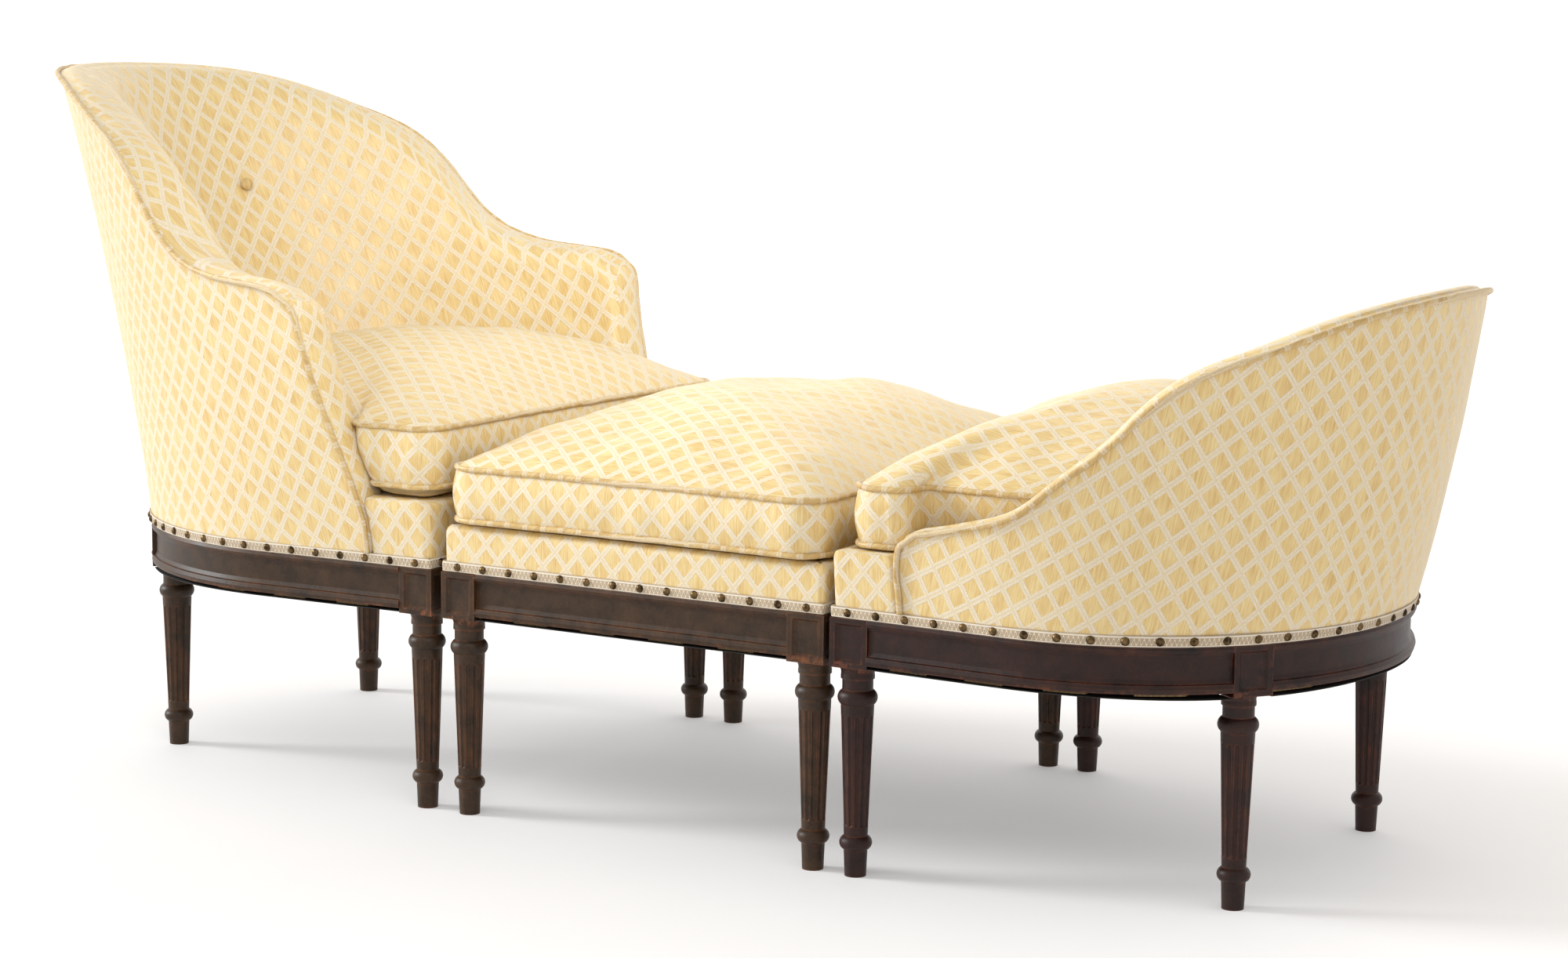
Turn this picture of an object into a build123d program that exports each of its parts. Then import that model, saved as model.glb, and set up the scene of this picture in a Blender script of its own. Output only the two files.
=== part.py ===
from build123d import *
from dataclasses import dataclass
from math import asin, cos, hypot, pi, radians, sin, sqrt, tan
import os

# A chaise longue in three parts: a high-backed tub chair at the head, a square stool in
# the middle and a low tub chair at the foot, each with a loose cushion.
# Millimetres. The row stands on z = 0, its length runs along X with the head chair at -X,
# and it is symmetric about y = 0. Each unit is drawn in its own plane, whose origin is the
# middle of its front leg line and whose x runs from there towards the unit's back.
# An inset is a distance inwards from the outer edge of the moulded seat rail.

# Heights
rail_top = 320.0
rail_bottom = 265.0
block_bottom = 259.0
tongue_height = 14.0
tongue_top = rail_top + tongue_height

# Layout along the row
block_size = 51.4
ottoman_leg_pitch = 514.2
head_gap = 16.0
foot_gap = 8.0
front_leg_half_track = 329.8
front_reach = block_size / 2

# Layers of the upholstery, as insets
soft_gap = 0.3
overrun = 10.0
gimp_inset = 1.0
cover_inset = 3.0
cover_thickness = 2.0
frame_inset = cover_inset + cover_thickness + soft_gap
frame_thickness = 22.0
padding_inset = frame_inset + frame_thickness + 2 * soft_gap

# Plan of the head chair: reach is the distance behind the front leg line
head_rail_reach = 638.0
head_rail_half_width = 366.0
head_rail_back_radius = 362.0
head_rail_back_turn = 55.0
head_rail_toe_in = 2.0
head_arm_height = 600.0
head_arm_reach = 715.0
head_arm_half_width = 400.0
head_arm_back_radius = 306.0
head_arm_back_turn = 46.0
head_arm_toe_in = 4.6
head_crest_height = 951.0
head_crest_reach = 831.0
head_crest_half_width = 450.0
head_crest_back_radius = 276.0
head_crest_back_turn = 48.0
head_crest_toe_in = 6.6
head_rear_leg_turn = 42.0
head_deck_top = 408.0

# Plan of the foot chair
foot_rail_reach = 557.0
foot_rail_half_width = 367.0
foot_rail_back_radius = 394.0
foot_rail_back_turn = 40.0
foot_rail_toe_in = 2.5
foot_arm_height = 500.0
foot_arm_reach = 601.0
foot_arm_half_width = 384.0
foot_arm_back_radius = 360.0
foot_arm_back_turn = 40.0
foot_arm_toe_in = 3.3
foot_crest_height = 724.0
foot_crest_reach = 636.0
foot_crest_half_width = 402.0
foot_crest_back_radius = 400.0
foot_crest_back_turn = 48.0
foot_crest_toe_in = 4.5
foot_rear_leg_turn = 38.0
foot_deck_top = 403.0

ottoman_half_width = front_leg_half_track + front_reach
ottoman_deck_top = 382.0

# Side view of the arm front and crest: each row is (share of the crest reach, share of the
# rise from the rail top to the crest)
head_outline_shares = (
    (0.084, 0.0), (0.087, 0.079), (0.098, 0.14), (0.134, 0.271), (0.16, 0.378),
    (0.178, 0.48), (0.19, 0.53), (0.217, 0.554), (0.3, 0.574), (0.397, 0.591),
    (0.481, 0.646), (0.554, 0.756), (0.626, 0.843), (0.71, 0.897), (0.806, 0.949),
    (0.914, 0.984), (1.03, 1.0),
)
foot_outline_shares = (
    (0.11, 0.0), (0.105, 0.1), (0.104, 0.19), (0.114, 0.242), (0.141, 0.272),
    (0.19, 0.29), (0.252, 0.312), (0.346, 0.356), (0.44, 0.466), (0.519, 0.564),
    (0.597, 0.688), (0.676, 0.778), (0.786, 0.854), (0.896, 0.933), (1.02, 1.0),
)

# How many of those rows belong to the arm front
head_arm_front_rows = 7
foot_arm_front_rows = 3

# Padding of the arms and back
arm_padding = 68.0
crest_padding = 66.0
head_back_padding = 116.0
foot_back_padding = 92.0
welt_size = 8.0
welt_outer_inset = cover_inset - welt_size / 2
frame_drop = 14.0
frame_band = 48.0
frame_post = 42.0

# Moulded rail section: (inset, share of the rail's height) from top to bottom
rail_thickness = 27.0
moulding_share_rows = ((0.06, 1.0), (0.0, 0.93), (0.06, 0.86), (0.17, 0.84), (0.25, 0.74),
                       (0.25, 0.3), (0.17, 0.21), (0.06, 0.19), (0.0, 0.1), (0.06, 0.0))
tenon_thickness = 10.0
tenon_shoulder = 9.0
tenon_length = 18.0

# Corner block above each leg
rear_leg_inset = 35.0
block_face_inset = 2.0
panel_border = 7.0
panel_depth = 3.0
panel_bevel = 45.0

# Turned leg, whose heights are shares of the height up to the block
leg_foot_radius = 13.2
leg_ankle_radius = 14.5
leg_ring_radius = 20.0
leg_shaft_top_radius = 20.2
leg_collar_radius = 24.3
leg_neck_radius = 18.8
leg_fillet_radius = 20.6
leg_cap_radius = 24.0
leg_foot_top_share = 0.127
leg_ring_top_share = 0.193
leg_shaft_top_share = 0.811
leg_collar_low_share = 0.819
leg_collar_top_share = 0.888
leg_neck_low_share = 0.896
leg_neck_top_share = 0.942
leg_fillet_top_share = 0.958
flute_count = 12
flute_radius = 3.6
flute_depth = 1.7
flute_low_share = 0.25
flute_high_share = 0.76

# Seat support
webbing_width = 50.0
webbing_thickness = 2.0
webbing_count = 7
webbing_inset = 12.0
dust_cover_thickness = 1.0
dust_cover_inset = 4.0
spring_radius = 30.0
spring_wire_radius = 1.9
spring_turns = 4
# Places of the springs: (share of the depth, share of the half width)
spring_shares = ((0.22, 0.5), (0.22, -0.5), (0.46, 0.0), (0.7, 0.42), (0.7, -0.42))
pocket_margin = 30.0
pocket_depth = 18.0
corner_block_size = 62.0
corner_block_height = 38.0
screw_radius = 2.2
screw_head_radius = 4.4
screw_head_height = 2.6
screw_length = 48.0
screw_spacing = 20.0

# Trim
gimp_height = 14.0
nail_head_radius = 5.3
nail_head_height = 4.0
nail_shank_radius = 1.1
nail_shank_length = 13.0
nail_pitch = 39.5
nail_margin = 24.0
nail_seat = 0.4
button_radius = 7.5
button_height = 5.0
button_spacing = 192.0
button_height_share = 0.72
button_seat = 2.0
button_round = 2.0
deck_round = 12.0

# Cushions
head_cushion_front = 21.0
head_cushion_half_width = 350.0
head_cushion_back = 650.0
head_cushion_low_welt = 424.0
head_cushion_high_welt = 500.0
head_cushion_crown = 588.0
foot_cushion_front = 6.0
foot_cushion_half_width = 346.0
foot_cushion_back = 575.0
foot_cushion_low_welt = 409.0
foot_cushion_high_welt = 478.0
foot_cushion_crown = 580.0
ottoman_cushion_margin = 11.0
ottoman_cushion_half_width = 358.0
ottoman_cushion_low_welt = 389.0
ottoman_cushion_high_welt = 456.0
ottoman_cushion_crown = 552.0
cushion_corner_radius = 26.0
cushion_draw_in = 5.0
cushion_bulge = 3.0
cushion_bottom_inset = 22.0
cushion_clearance = 1.2
head_cushion_back_corner = 200.0
foot_cushion_back_corner = 190.0
crown_round_share = 0.5
crown_corner_limit_share = 0.9
# Crown of a cushion: (share of the way in from the welt, share of the crown's rise)
crown_shares = ((0.05, 0.3), (0.16, 0.58), (0.34, 0.82), (0.56, 0.96), (0.74, 1.0))

head_reach_out = head_crest_reach - welt_outer_inset
foot_reach_out = foot_crest_reach - welt_outer_inset
unit_span = 2 * block_size + head_gap + foot_gap + ottoman_leg_pitch
row_length = head_reach_out + unit_span + foot_reach_out
head_line = head_reach_out - row_length / 2
foot_line = row_length / 2 - foot_reach_out
ottoman_front_line = head_line + block_size + head_gap


@dataclass
class PlanLevel:
    """Outline of a tub chair at one height: a round back, two side arcs, toed-in sides."""

    height: float
    reach: float
    half_width: float
    back_radius: float
    back_turn: float
    toe_in: float

    @property
    def back_centre(self):
        return self.reach - self.back_radius

    @property
    def side_radius(self):
        sine = sin(radians(self.back_turn))
        return (self.half_width - self.back_radius * sine) / (1 - sine)

    @property
    def side_centre(self):
        shift = (self.back_radius - self.side_radius) * cos(radians(self.back_turn))
        return self.back_centre + shift, self.half_width - self.side_radius

    def on_back(self, turn, inset=0):
        """Point of the back arc at a turn from the middle, in degrees."""
        radius = self.back_radius - inset
        return self.back_centre + radius * cos(radians(turn)), radius * sin(radians(turn))

    def on_side(self, turn, inset=0):
        """Point of the side arc, whose turn runs from back_turn to a right angle and on."""
        x, y = self.side_centre
        radius = self.side_radius - inset
        return x + radius * cos(radians(turn)), y + radius * sin(radians(turn))

    def front_half_width(self, x, inset=0):
        """Half width of the straight, toed-in part of the side at x."""
        start_x, start_y = self.on_side(90 + self.toe_in, inset)
        return start_y - (start_x - x) * tan(radians(self.toe_in))

    def blend(self, other, height):
        """The outline at a height between this level and another."""
        share = (height - self.height) / (other.height - self.height)

        def mix(name):
            return getattr(self, name) + share * (getattr(other, name) - getattr(self, name))

        return PlanLevel(height, mix("reach"), mix("half_width"), mix("back_radius"),
                         mix("back_turn"), mix("toe_in"))


@dataclass
class Leg:
    """A leg's axis in its unit's plane, the way its block faces and how far the face is out."""

    x: float
    y: float
    turn: float
    outward: float


class Unit:
    """One free-standing unit, with its front leg line at line_x and its back towards side."""

    def __init__(self, name, line_x, side, deck_top):
        self.name = name
        self.line_x = line_x
        self.side = side
        self.deck_top = deck_top

    def plane(self, height=0, x=0, y=0, turn=0):
        """Level plane at a place of the unit, turned about the vertical."""
        heading = Vector(cos(radians(turn)), sin(radians(turn)), 0)
        return Plane(self.point(x, y, height), x_dir=self.direction(heading), z_dir=(0, 0, 1))

    def point(self, x, y, height):
        return Vector(self.line_x + self.side * x, self.side * y, height)

    def direction(self, vector):
        return Vector(self.side * vector.X, self.side * vector.Y, vector.Z)

    def side_plane(self):
        return Plane((self.line_x, 0, 0), x_dir=(self.side, 0, 0), z_dir=(0, -self.side, 0))

    def save(self, piece, part):
        """Label a finished piece and write its file."""
        part.label = f"{self.name}_{piece}"
        export_step(part, f"parts/{part.label}.step")


class Chair(Unit):
    """A tub chair: its outline grows from the rail to the crest through three levels."""

    def __init__(self, name, line_x, side, deck_top, levels, outline_shares, arm_front_rows,
                 back_padding, rear_leg_turn):
        super().__init__(name, line_x, side, deck_top)
        self.arm_front_rows = arm_front_rows
        self.levels = levels
        self.outline_shares = outline_shares
        self.crest = levels[-1]
        self.inner_levels = [self.padded(level, back_padding) for level in levels[:-1]]
        self.inner_levels.append(self.padded(self.crest, crest_padding))
        rear_x, rear_y = levels[0].on_back(rear_leg_turn, rear_leg_inset)
        rear_out = rear_leg_inset - block_face_inset
        self.legs = {
            "front_left": Leg(0, -self.side * front_leg_half_track, -90 * self.side, front_reach),
            "front_right": Leg(0, self.side * front_leg_half_track, 90 * self.side, front_reach),
            "rear_left": Leg(rear_x, -self.side * rear_y, -rear_leg_turn * self.side, rear_out),
            "rear_right": Leg(rear_x, self.side * rear_y, rear_leg_turn * self.side, rear_out),
        }

    @staticmethod
    def padded(level, back_padding):
        """The inside of the padding at one level."""
        return PlanLevel(level.height,
                         level.reach - cover_inset - back_padding,
                         level.half_width - cover_inset - arm_padding,
                         level.back_radius - cover_inset - (arm_padding + back_padding) / 2,
                         level.back_turn, level.toe_in)

    def run(self, level, inset, front=-front_reach):
        """Side, back and side of the outline as an open path, in the current BuildLine."""
        side_turn = 90 + level.toe_in
        near = [(front, level.front_half_width(front, inset)),
                level.on_side(side_turn, inset),
                level.on_side((side_turn + level.back_turn) / 2, inset),
                level.on_back(level.back_turn, inset)]
        far = [(x, -y) for x, y in near]
        Line(near[0], near[1])
        ThreePointArc(*near[1:])
        ThreePointArc(near[3], (level.reach - inset, 0), far[3])
        ThreePointArc(*far[:0:-1])
        Line(far[1], far[0])
        return near[0], far[0]

    def outline(self, inset, level=None, front=None):
        """Closed outline at one level, by default the rail's."""
        front = -front_reach + inset if front is None else front
        with BuildSketch() as face:
            with BuildLine():
                start, far_start = self.run(level or self.levels[0], inset, front)
                Line(far_start, start)
            make_face()
        return face.sketch

    def pocket(self):
        """Outline of the room for the springs under the deck."""
        return self.outline(pocket_margin, self.inner_levels[0])

    def walls(self, inset, height):
        """Solid within the outline from the rail top to a height."""
        with BuildPart() as block:
            add(self.tub(inset))
            split(bisect_by=Plane.XY.offset(height), keep=Keep.BOTTOM)
        return block.part

    def nail_runs(self, height):
        """The lines that the nails follow: round the sides and back, then across the front."""
        level = self.levels[0].blend(self.levels[1], height)
        with BuildLine(self.plane(height)) as around:
            start, far_start = self.run(level, gimp_inset, -front_reach + gimp_inset)
        with BuildLine(self.plane(height)) as across:
            Line(far_start, start)
        return around.wires()[0], across.wires()[0]

    def tub(self, inset, levels=None, front=None):
        """Solid within the outline at an inset, from the rail top to above the crest."""
        low, middle, crest = levels or self.levels
        with BuildPart() as block:
            for level in (low, middle, middle.blend(crest, crest.height + overrun)):
                with BuildSketch(self.plane(level.height)):
                    add(self.outline(inset, level, front))
            loft()
        return block.part

    def side_points(self, inset):
        """Arm front and crest seen from the side, moved inwards by an inset."""
        rise = self.crest.height - rail_top
        points = [Vector(self.crest.reach * x_share, rail_top + rise * z_share)
                  for x_share, z_share in self.outline_shares]
        moved = []
        for index, point in enumerate(points):
            before = points[max(index - 1, 0)]
            after = points[min(index + 1, len(points) - 1)]
            along = (after - before).normalized()
            moved.append(point + Vector(along.Y, -along.X) * inset)
        return moved

    def side_prism(self, inset):
        """Everything behind the arm fronts and below the crest, at an inset from both."""
        far = self.crest.reach + block_size
        floor = rail_top - overrun
        with BuildPart() as prism:
            with BuildSketch(self.side_plane()):
                with BuildLine():
                    crest = Spline(*self.side_points(inset))
                    first = crest @ 0
                    last = crest @ 1
                    Polyline((last.X, last.Y), (far, last.Y), (far, floor), (first.X, floor),
                             (first.X, first.Y))
                make_face()
            extrude(amount=self.crest.half_width + block_size, both=True)
        return prism.part

    def arms(self, gap):
        """Room that the arms and back take up, with a gap around them."""
        with BuildPart() as room:
            add(self.tub(-overrun))
            add(self.inside(gap), mode=Mode.SUBTRACT)
            add(self.side_prism(-gap), mode=Mode.INTERSECT)
        return room.part

    def inside(self, gap):
        """The inside of the padding, open towards the front."""
        return self.tub(gap, self.inner_levels, -front_reach - overrun)

    def beside_cushion(self, gap):
        """Everything behind the arm fronts and outside the padding's inside, at any height."""
        points = self.side_points(-gap)[:self.arm_front_rows]
        far = self.crest.reach + block_size
        floor = rail_top - overrun
        with BuildPart() as room:
            with BuildSketch(self.side_plane()):
                with BuildLine():
                    front = Spline(*points)
                    first = front @ 0
                    last = front @ 1
                    Polyline((last.X, last.Y), (last.X, self.crest.height),
                             (far, self.crest.height), (far, floor), (first.X, floor),
                             (first.X, first.Y))
                make_face()
            extrude(amount=self.crest.half_width + block_size, both=True)
            add(self.inside(gap), mode=Mode.SUBTRACT)
        return room.part


class Stool(Unit):
    """The square stool, whose outline is a rectangle at every height."""

    def __init__(self, name, line_x, side, deck_top):
        super().__init__(name, line_x, side, deck_top)
        pitch = ottoman_leg_pitch
        track = front_leg_half_track
        self.legs = {
            "front_left": Leg(0, -track, -90, front_reach),
            "front_right": Leg(0, track, 90, front_reach),
            "rear_left": Leg(pitch, -track, -90, front_reach),
            "rear_right": Leg(pitch, track, 90, front_reach),
        }

    def outline(self, inset):
        """Closed outline at the rail."""
        length = ottoman_leg_pitch + block_size - 2 * inset
        with BuildSketch() as face:
            with Locations((ottoman_leg_pitch / 2, 0)):
                Rectangle(length, 2 * (ottoman_half_width - inset))
        return face.sketch

    def pocket(self):
        """Outline of the room for the springs under the deck."""
        return self.outline(rail_thickness + pocket_margin)

    def walls(self, inset, height):
        """Solid within the outline from the rail top to a height."""
        with BuildPart() as block:
            with BuildSketch(self.plane(rail_top)):
                add(self.outline(inset))
            extrude(amount=height - rail_top)
        return block.part

    def nail_runs(self, height):
        """The lines that the nails follow: one along each side."""
        with BuildSketch(self.plane(height)) as rows:
            add(self.outline(gimp_inset))
        return rows.sketch.faces()[0].outer_wire().edges()


def rail_section():
    """Moulded face and tacking tongue, with x outwards and y up from the rail's bottom."""
    height = rail_top - rail_bottom
    with BuildSketch() as section:
        with BuildLine():
            Polyline((-frame_inset, height + tongue_height),
                     (-frame_inset, height),
                     *[(-rail_thickness * inset_share, height * height_share)
                       for inset_share, height_share in moulding_share_rows],
                     (-rail_thickness, 0),
                     (-rail_thickness, height + tongue_height),
                     close=True)
        make_face()
    return section.sketch


def tenon_section():
    """Tenon behind the moulded face."""
    with BuildSketch() as section:
        with Locations((-tenon_shoulder - tenon_thickness / 2, (rail_top - rail_bottom) / 2)):
            Rectangle(tenon_thickness, rail_top - rail_bottom - 2 * tenon_shoulder)
    return section.sketch


def straight_rail(unit, x, y, outward, length):
    """A straight rail from (x, y), with its tenons, facing outward."""
    heading = outward.cross(Vector(0, 0, 1))
    start = Plane(unit.point(x, y, rail_bottom), x_dir=unit.direction(outward),
                  z_dir=unit.direction(heading))
    with BuildPart() as rail:
        with BuildSketch(start):
            add(rail_section())
        extrude(amount=length)
        with BuildSketch(start.offset(-tenon_length)):
            add(tenon_section())
        extrude(amount=length + 2 * tenon_length)
    return rail.part


def block_footprint(leg):
    """Plan of a leg's block in the leg's own plane, with x towards its outer face."""
    with BuildSketch() as footprint:
        with Locations(((leg.outward - block_size / 2) / 2, 0)):
            Rectangle(block_size / 2 + leg.outward, block_size)
    return footprint.sketch


def curved_rails(chair):
    """Side and back rails, swept round the plan and cut at the rear blocks, with tenons."""
    level = chair.levels[0]
    pieces = []
    for section, shortening in ((rail_section, 0), (tenon_section, tenon_length)):
        with BuildPart() as run:
            with BuildLine(chair.plane(rail_bottom)) as path:
                chair.run(level, 0, front_reach - shortening)
            wire = path.wires()[0]
            outward = Vector(0, 0, 1).cross(wire % 0)
            with BuildSketch(Plane(wire @ 0, x_dir=outward, z_dir=wire % 0)):
                add(section())
            sweep()
            for name in ("rear_left", "rear_right"):
                leg = chair.legs[name]
                with BuildSketch(chair.plane(block_bottom, leg.x, leg.y, leg.turn)):
                    Rectangle(3 * block_size, block_size - 2 * shortening)
                extrude(amount=tongue_top - block_bottom + overrun, mode=Mode.SUBTRACT)
        pieces.append(run.part)
    with BuildPart() as rails:
        add(pieces[0])
        add(pieces[1])
    return rails.part


def turned_leg():
    """The turned and fluted leg below its block, standing on the origin."""
    height = block_bottom
    foot_top = height * leg_foot_top_share
    ring_top = height * leg_ring_top_share
    shaft_top = height * leg_shaft_top_share
    collar_low = height * leg_collar_low_share
    collar_top = height * leg_collar_top_share
    neck_low = height * leg_neck_low_share
    neck_top = height * leg_neck_top_share
    fillet_top = height * leg_fillet_top_share
    flute_low = height * flute_low_share
    flute_high = height * flute_high_share
    lean = (leg_shaft_top_radius - leg_ankle_radius) / (shaft_top - ring_top)
    flute_axis = leg_ankle_radius + lean * (flute_low - ring_top) + flute_radius - flute_depth
    flute_start = Plane((flute_axis, 0, flute_low), x_dir=(0, 1, 0), z_dir=(lean, 0, 1))
    flute_length = (flute_high - flute_low) * hypot(1, lean)
    with BuildPart() as flute:
        with BuildSketch(flute_start):
            Circle(flute_radius)
        extrude(amount=flute_length)
        with Locations(flute_start.location, flute_start.offset(flute_length).location):
            Sphere(flute_radius)
    with BuildPart() as leg:
        with BuildSketch(Plane.XZ):
            with BuildLine():
                Polyline((0, 0), (leg_foot_radius, 0), (leg_ankle_radius, foot_top))
                ThreePointArc((leg_ankle_radius, foot_top),
                              (leg_ring_radius, (foot_top + ring_top) / 2),
                              (leg_ankle_radius, ring_top))
                Polyline((leg_ankle_radius, ring_top), (leg_shaft_top_radius, shaft_top),
                         (leg_shaft_top_radius, collar_low))
                ThreePointArc((leg_shaft_top_radius, collar_low),
                              (leg_collar_radius, (collar_low + collar_top) / 2),
                              (leg_neck_radius, collar_top))
                Polyline((leg_neck_radius, collar_top), (leg_neck_radius, neck_top),
                         (leg_fillet_radius, neck_top), (leg_fillet_radius, fillet_top))
                RadiusArc((leg_fillet_radius, fillet_top), (leg_cap_radius, height),
                          height - fillet_top)
                Polyline((leg_cap_radius, height), (0, height), (0, 0))
            make_face()
        revolve(axis=Axis.Z)
        with PolarLocations(0, flute_count):
            add(flute.part, mode=Mode.SUBTRACT)
    return leg.part


def panel(plane):
    """The bevelled panel that is sunk into a block's face in the plane."""
    height = rail_top - block_bottom
    with BuildPart() as recess:
        with BuildSketch(plane):
            Rectangle(block_size - 2 * panel_border, height - 2 * panel_border)
        extrude(amount=-panel_depth, taper=panel_bevel)
    return recess.part


def corner_leg(unit, leg, turning, rails, end_way):
    """One leg with its block, the tongue above the block, panels and mortises."""
    low = unit.plane(block_bottom, leg.x, leg.y, leg.turn)
    face = Plane(unit.point(leg.x, leg.y, (block_bottom + rail_top) / 2)
                 + low.x_dir * leg.outward, x_dir=low.y_dir, z_dir=low.x_dir)
    with BuildPart() as tongue:
        with BuildSketch(unit.plane(rail_top)):
            add(unit.outline(frame_inset))
        extrude(amount=tongue_height)
        with BuildSketch(low):
            add(block_footprint(leg))
        extrude(amount=tongue_top - block_bottom, mode=Mode.INTERSECT)
    with BuildPart() as piece:
        add(turning.moved(unit.plane(0, leg.x, leg.y, leg.turn).location))
        with BuildSketch(low):
            add(block_footprint(leg))
        extrude(amount=rail_top - block_bottom)
        add(tongue.part)
        add(panel(face), mode=Mode.SUBTRACT)
        if end_way is not None:
            towards = unit.direction(Vector(end_way, 0, 0))
            centre = unit.point(leg.x, leg.y, (block_bottom + rail_top) / 2)
            end_face = Plane(centre + towards * front_reach, x_dir=(0, 1, 0), z_dir=towards)
            add(panel(end_face), mode=Mode.SUBTRACT)
        add(rails, mode=Mode.SUBTRACT)
    return piece.part


def corner_brace(unit, leg, is_square, frame):
    """Glue block behind one leg's block, fitted against the rails and the leg."""
    height = (rail_bottom + rail_top - corner_block_height) / 2
    with BuildPart() as brace:
        if is_square:
            way_x = 1 if leg.x == 0 else -1
            way_y = -1 if leg.y > 0 else 1
            with BuildSketch(unit.plane(height, leg.x, leg.y)):
                with BuildLine():
                    Polyline((-way_x * overrun, -way_y * overrun),
                             (way_x * (corner_block_size + front_reach), -way_y * overrun),
                             (-way_x * overrun, way_y * (corner_block_size + front_reach)),
                             close=True)
                make_face()
        else:
            depth = corner_block_size / 2
            with BuildSketch(unit.plane(height, leg.x, leg.y, leg.turn)):
                with Locations((-front_reach, 0)):
                    Rectangle(2 * depth, 2 * corner_block_size)
        extrude(amount=corner_block_height)
        add(frame, mode=Mode.SUBTRACT)
    return brace.part


def screw_plane(unit, leg, is_square, height):
    """Plane at the glue block's inner face, facing the leg."""
    if is_square:
        way_x = 1 if leg.x == 0 else -1
        way_y = -1 if leg.y > 0 else 1
        inward = Vector(way_x, way_y, 0).normalized()
        reach = (corner_block_size + front_reach - overrun) / sqrt(2)
    else:
        turn = radians(leg.turn)
        inward = Vector(-cos(turn), -sin(turn), 0)
        reach = front_reach + corner_block_size / 2
    place = unit.point(leg.x + inward.X * reach, leg.y + inward.Y * reach, height)
    return Plane(place, x_dir=(0, 0, 1), z_dir=unit.direction(inward) * -1)


def screw():
    """Countersunk wood screw, its head's outer face just above the origin plane."""
    with BuildPart() as piece:
        with BuildSketch(Plane.XY):
            Circle(screw_head_radius)
        with BuildSketch(Plane.XY.offset(screw_head_height)):
            Circle(screw_radius)
        loft()
        with BuildSketch(Plane.XY.offset(screw_head_height)):
            Circle(screw_radius)
        extrude(amount=screw_length - screw_head_height)
    return piece.part


def coil_spring(height):
    """One seat spring, standing on the origin."""
    with BuildPart() as spring:
        with BuildLine():
            helix = Helix(pitch=(height - 2 * spring_wire_radius) / spring_turns,
                          height=height - 2 * spring_wire_radius, radius=spring_radius,
                          center=(0, 0, spring_wire_radius))
        with BuildSketch(Plane(helix @ 0, z_dir=helix % 0)):
            Circle(spring_wire_radius)
        sweep(is_frenet=True)
    return spring.part


def nail():
    """Domed upholstery nail, its head's underside on the origin plane, pointing down."""
    with BuildPart() as piece:
        with BuildSketch(Plane.XZ):
            with BuildLine():
                ThreePointArc((0, nail_head_height),
                              (nail_head_radius * sin(pi / 4), nail_head_height * cos(pi / 4)),
                              (nail_head_radius, 0))
                Polyline((nail_head_radius, 0), (nail_shank_radius, 0),
                         (nail_shank_radius, -nail_shank_length), (0, -nail_shank_length),
                         (0, nail_head_height))
            make_face()
        revolve(axis=Axis.Z)
    return piece.part


def seat_depth(unit):
    """Distance from the front leg line to the back of the sprung part of the seat."""
    if isinstance(unit, Chair):
        return unit.inner_levels[0].reach
    return ottoman_leg_pitch


def block_columns(unit, low, high):
    """The room of the legs' blocks between two heights."""
    with BuildPart() as columns:
        for leg in unit.legs.values():
            with BuildSketch(unit.plane(low, leg.x, leg.y, leg.turn)):
                add(block_footprint(leg))
            extrude(amount=high - low)
    return columns.part


def webbing(unit):
    """Crossed straps under the rails."""
    depth = seat_depth(unit)
    width = 2 * ottoman_half_width
    pitch = width / webbing_count
    low = rail_bottom - 2 * webbing_thickness
    with BuildPart() as straps:
        with BuildSketch(unit.plane(low + webbing_thickness)):
            with Locations((depth / 2, 0)):
                with GridLocations(depth, pitch, 1, webbing_count):
                    Rectangle(2 * depth, webbing_width)
            add(unit.outline(webbing_inset), mode=Mode.INTERSECT)
        extrude(amount=webbing_thickness)
        with BuildSketch(unit.plane(low)):
            with Locations((depth / 2, 0)):
                with GridLocations(pitch, width, webbing_count - 1, 1):
                    Rectangle(webbing_width, 2 * width)
            add(unit.outline(webbing_inset), mode=Mode.INTERSECT)
        extrude(amount=webbing_thickness)
        add(block_columns(unit, low, rail_bottom), mode=Mode.SUBTRACT)
    return straps.part


def dust_cover(unit):
    """Cloth under the webbing, cut out round the legs."""
    high = rail_bottom - 2 * webbing_thickness
    with BuildPart() as cloth:
        with BuildSketch(unit.plane(high - dust_cover_thickness)):
            add(unit.outline(dust_cover_inset))
        extrude(amount=dust_cover_thickness)
        add(block_columns(unit, high - dust_cover_thickness, high), mode=Mode.SUBTRACT)
    return cloth.part


def springs(unit):
    """Seat springs between the webbing and the deck."""
    coil = coil_spring(tongue_top + pocket_depth - rail_bottom)
    depth = seat_depth(unit)
    with BuildPart() as row:
        for x_share, y_share in spring_shares:
            place = unit.plane(rail_bottom, depth * x_share, ottoman_half_width * y_share)
            add(coil.moved(place.location))
    return row.part


def deck(unit):
    """Padded seat platform, hollow over the rails' tongues and the springs."""
    with BuildPart() as platform:
        add(unit.walls(cover_inset, unit.deck_top))
        fillet(platform.edges().group_by(Axis.Z)[-1], deck_round)
        with BuildSketch(unit.plane(rail_top)):
            add(unit.outline(frame_inset))
        extrude(amount=tongue_height, mode=Mode.SUBTRACT)
        with BuildSketch(unit.plane(tongue_top)):
            add(unit.pocket())
        extrude(amount=pocket_depth, mode=Mode.SUBTRACT)
        if isinstance(unit, Chair):
            add(unit.arms(soft_gap), mode=Mode.SUBTRACT)
    return platform.part


def gimp(unit):
    """Braid along the bottom edge of the cover."""
    with BuildPart() as braid:
        add(unit.walls(gimp_inset, rail_top + gimp_height))
        add(unit.walls(cover_inset - soft_gap, rail_top + gimp_height), mode=Mode.SUBTRACT)
    return braid.part


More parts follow.
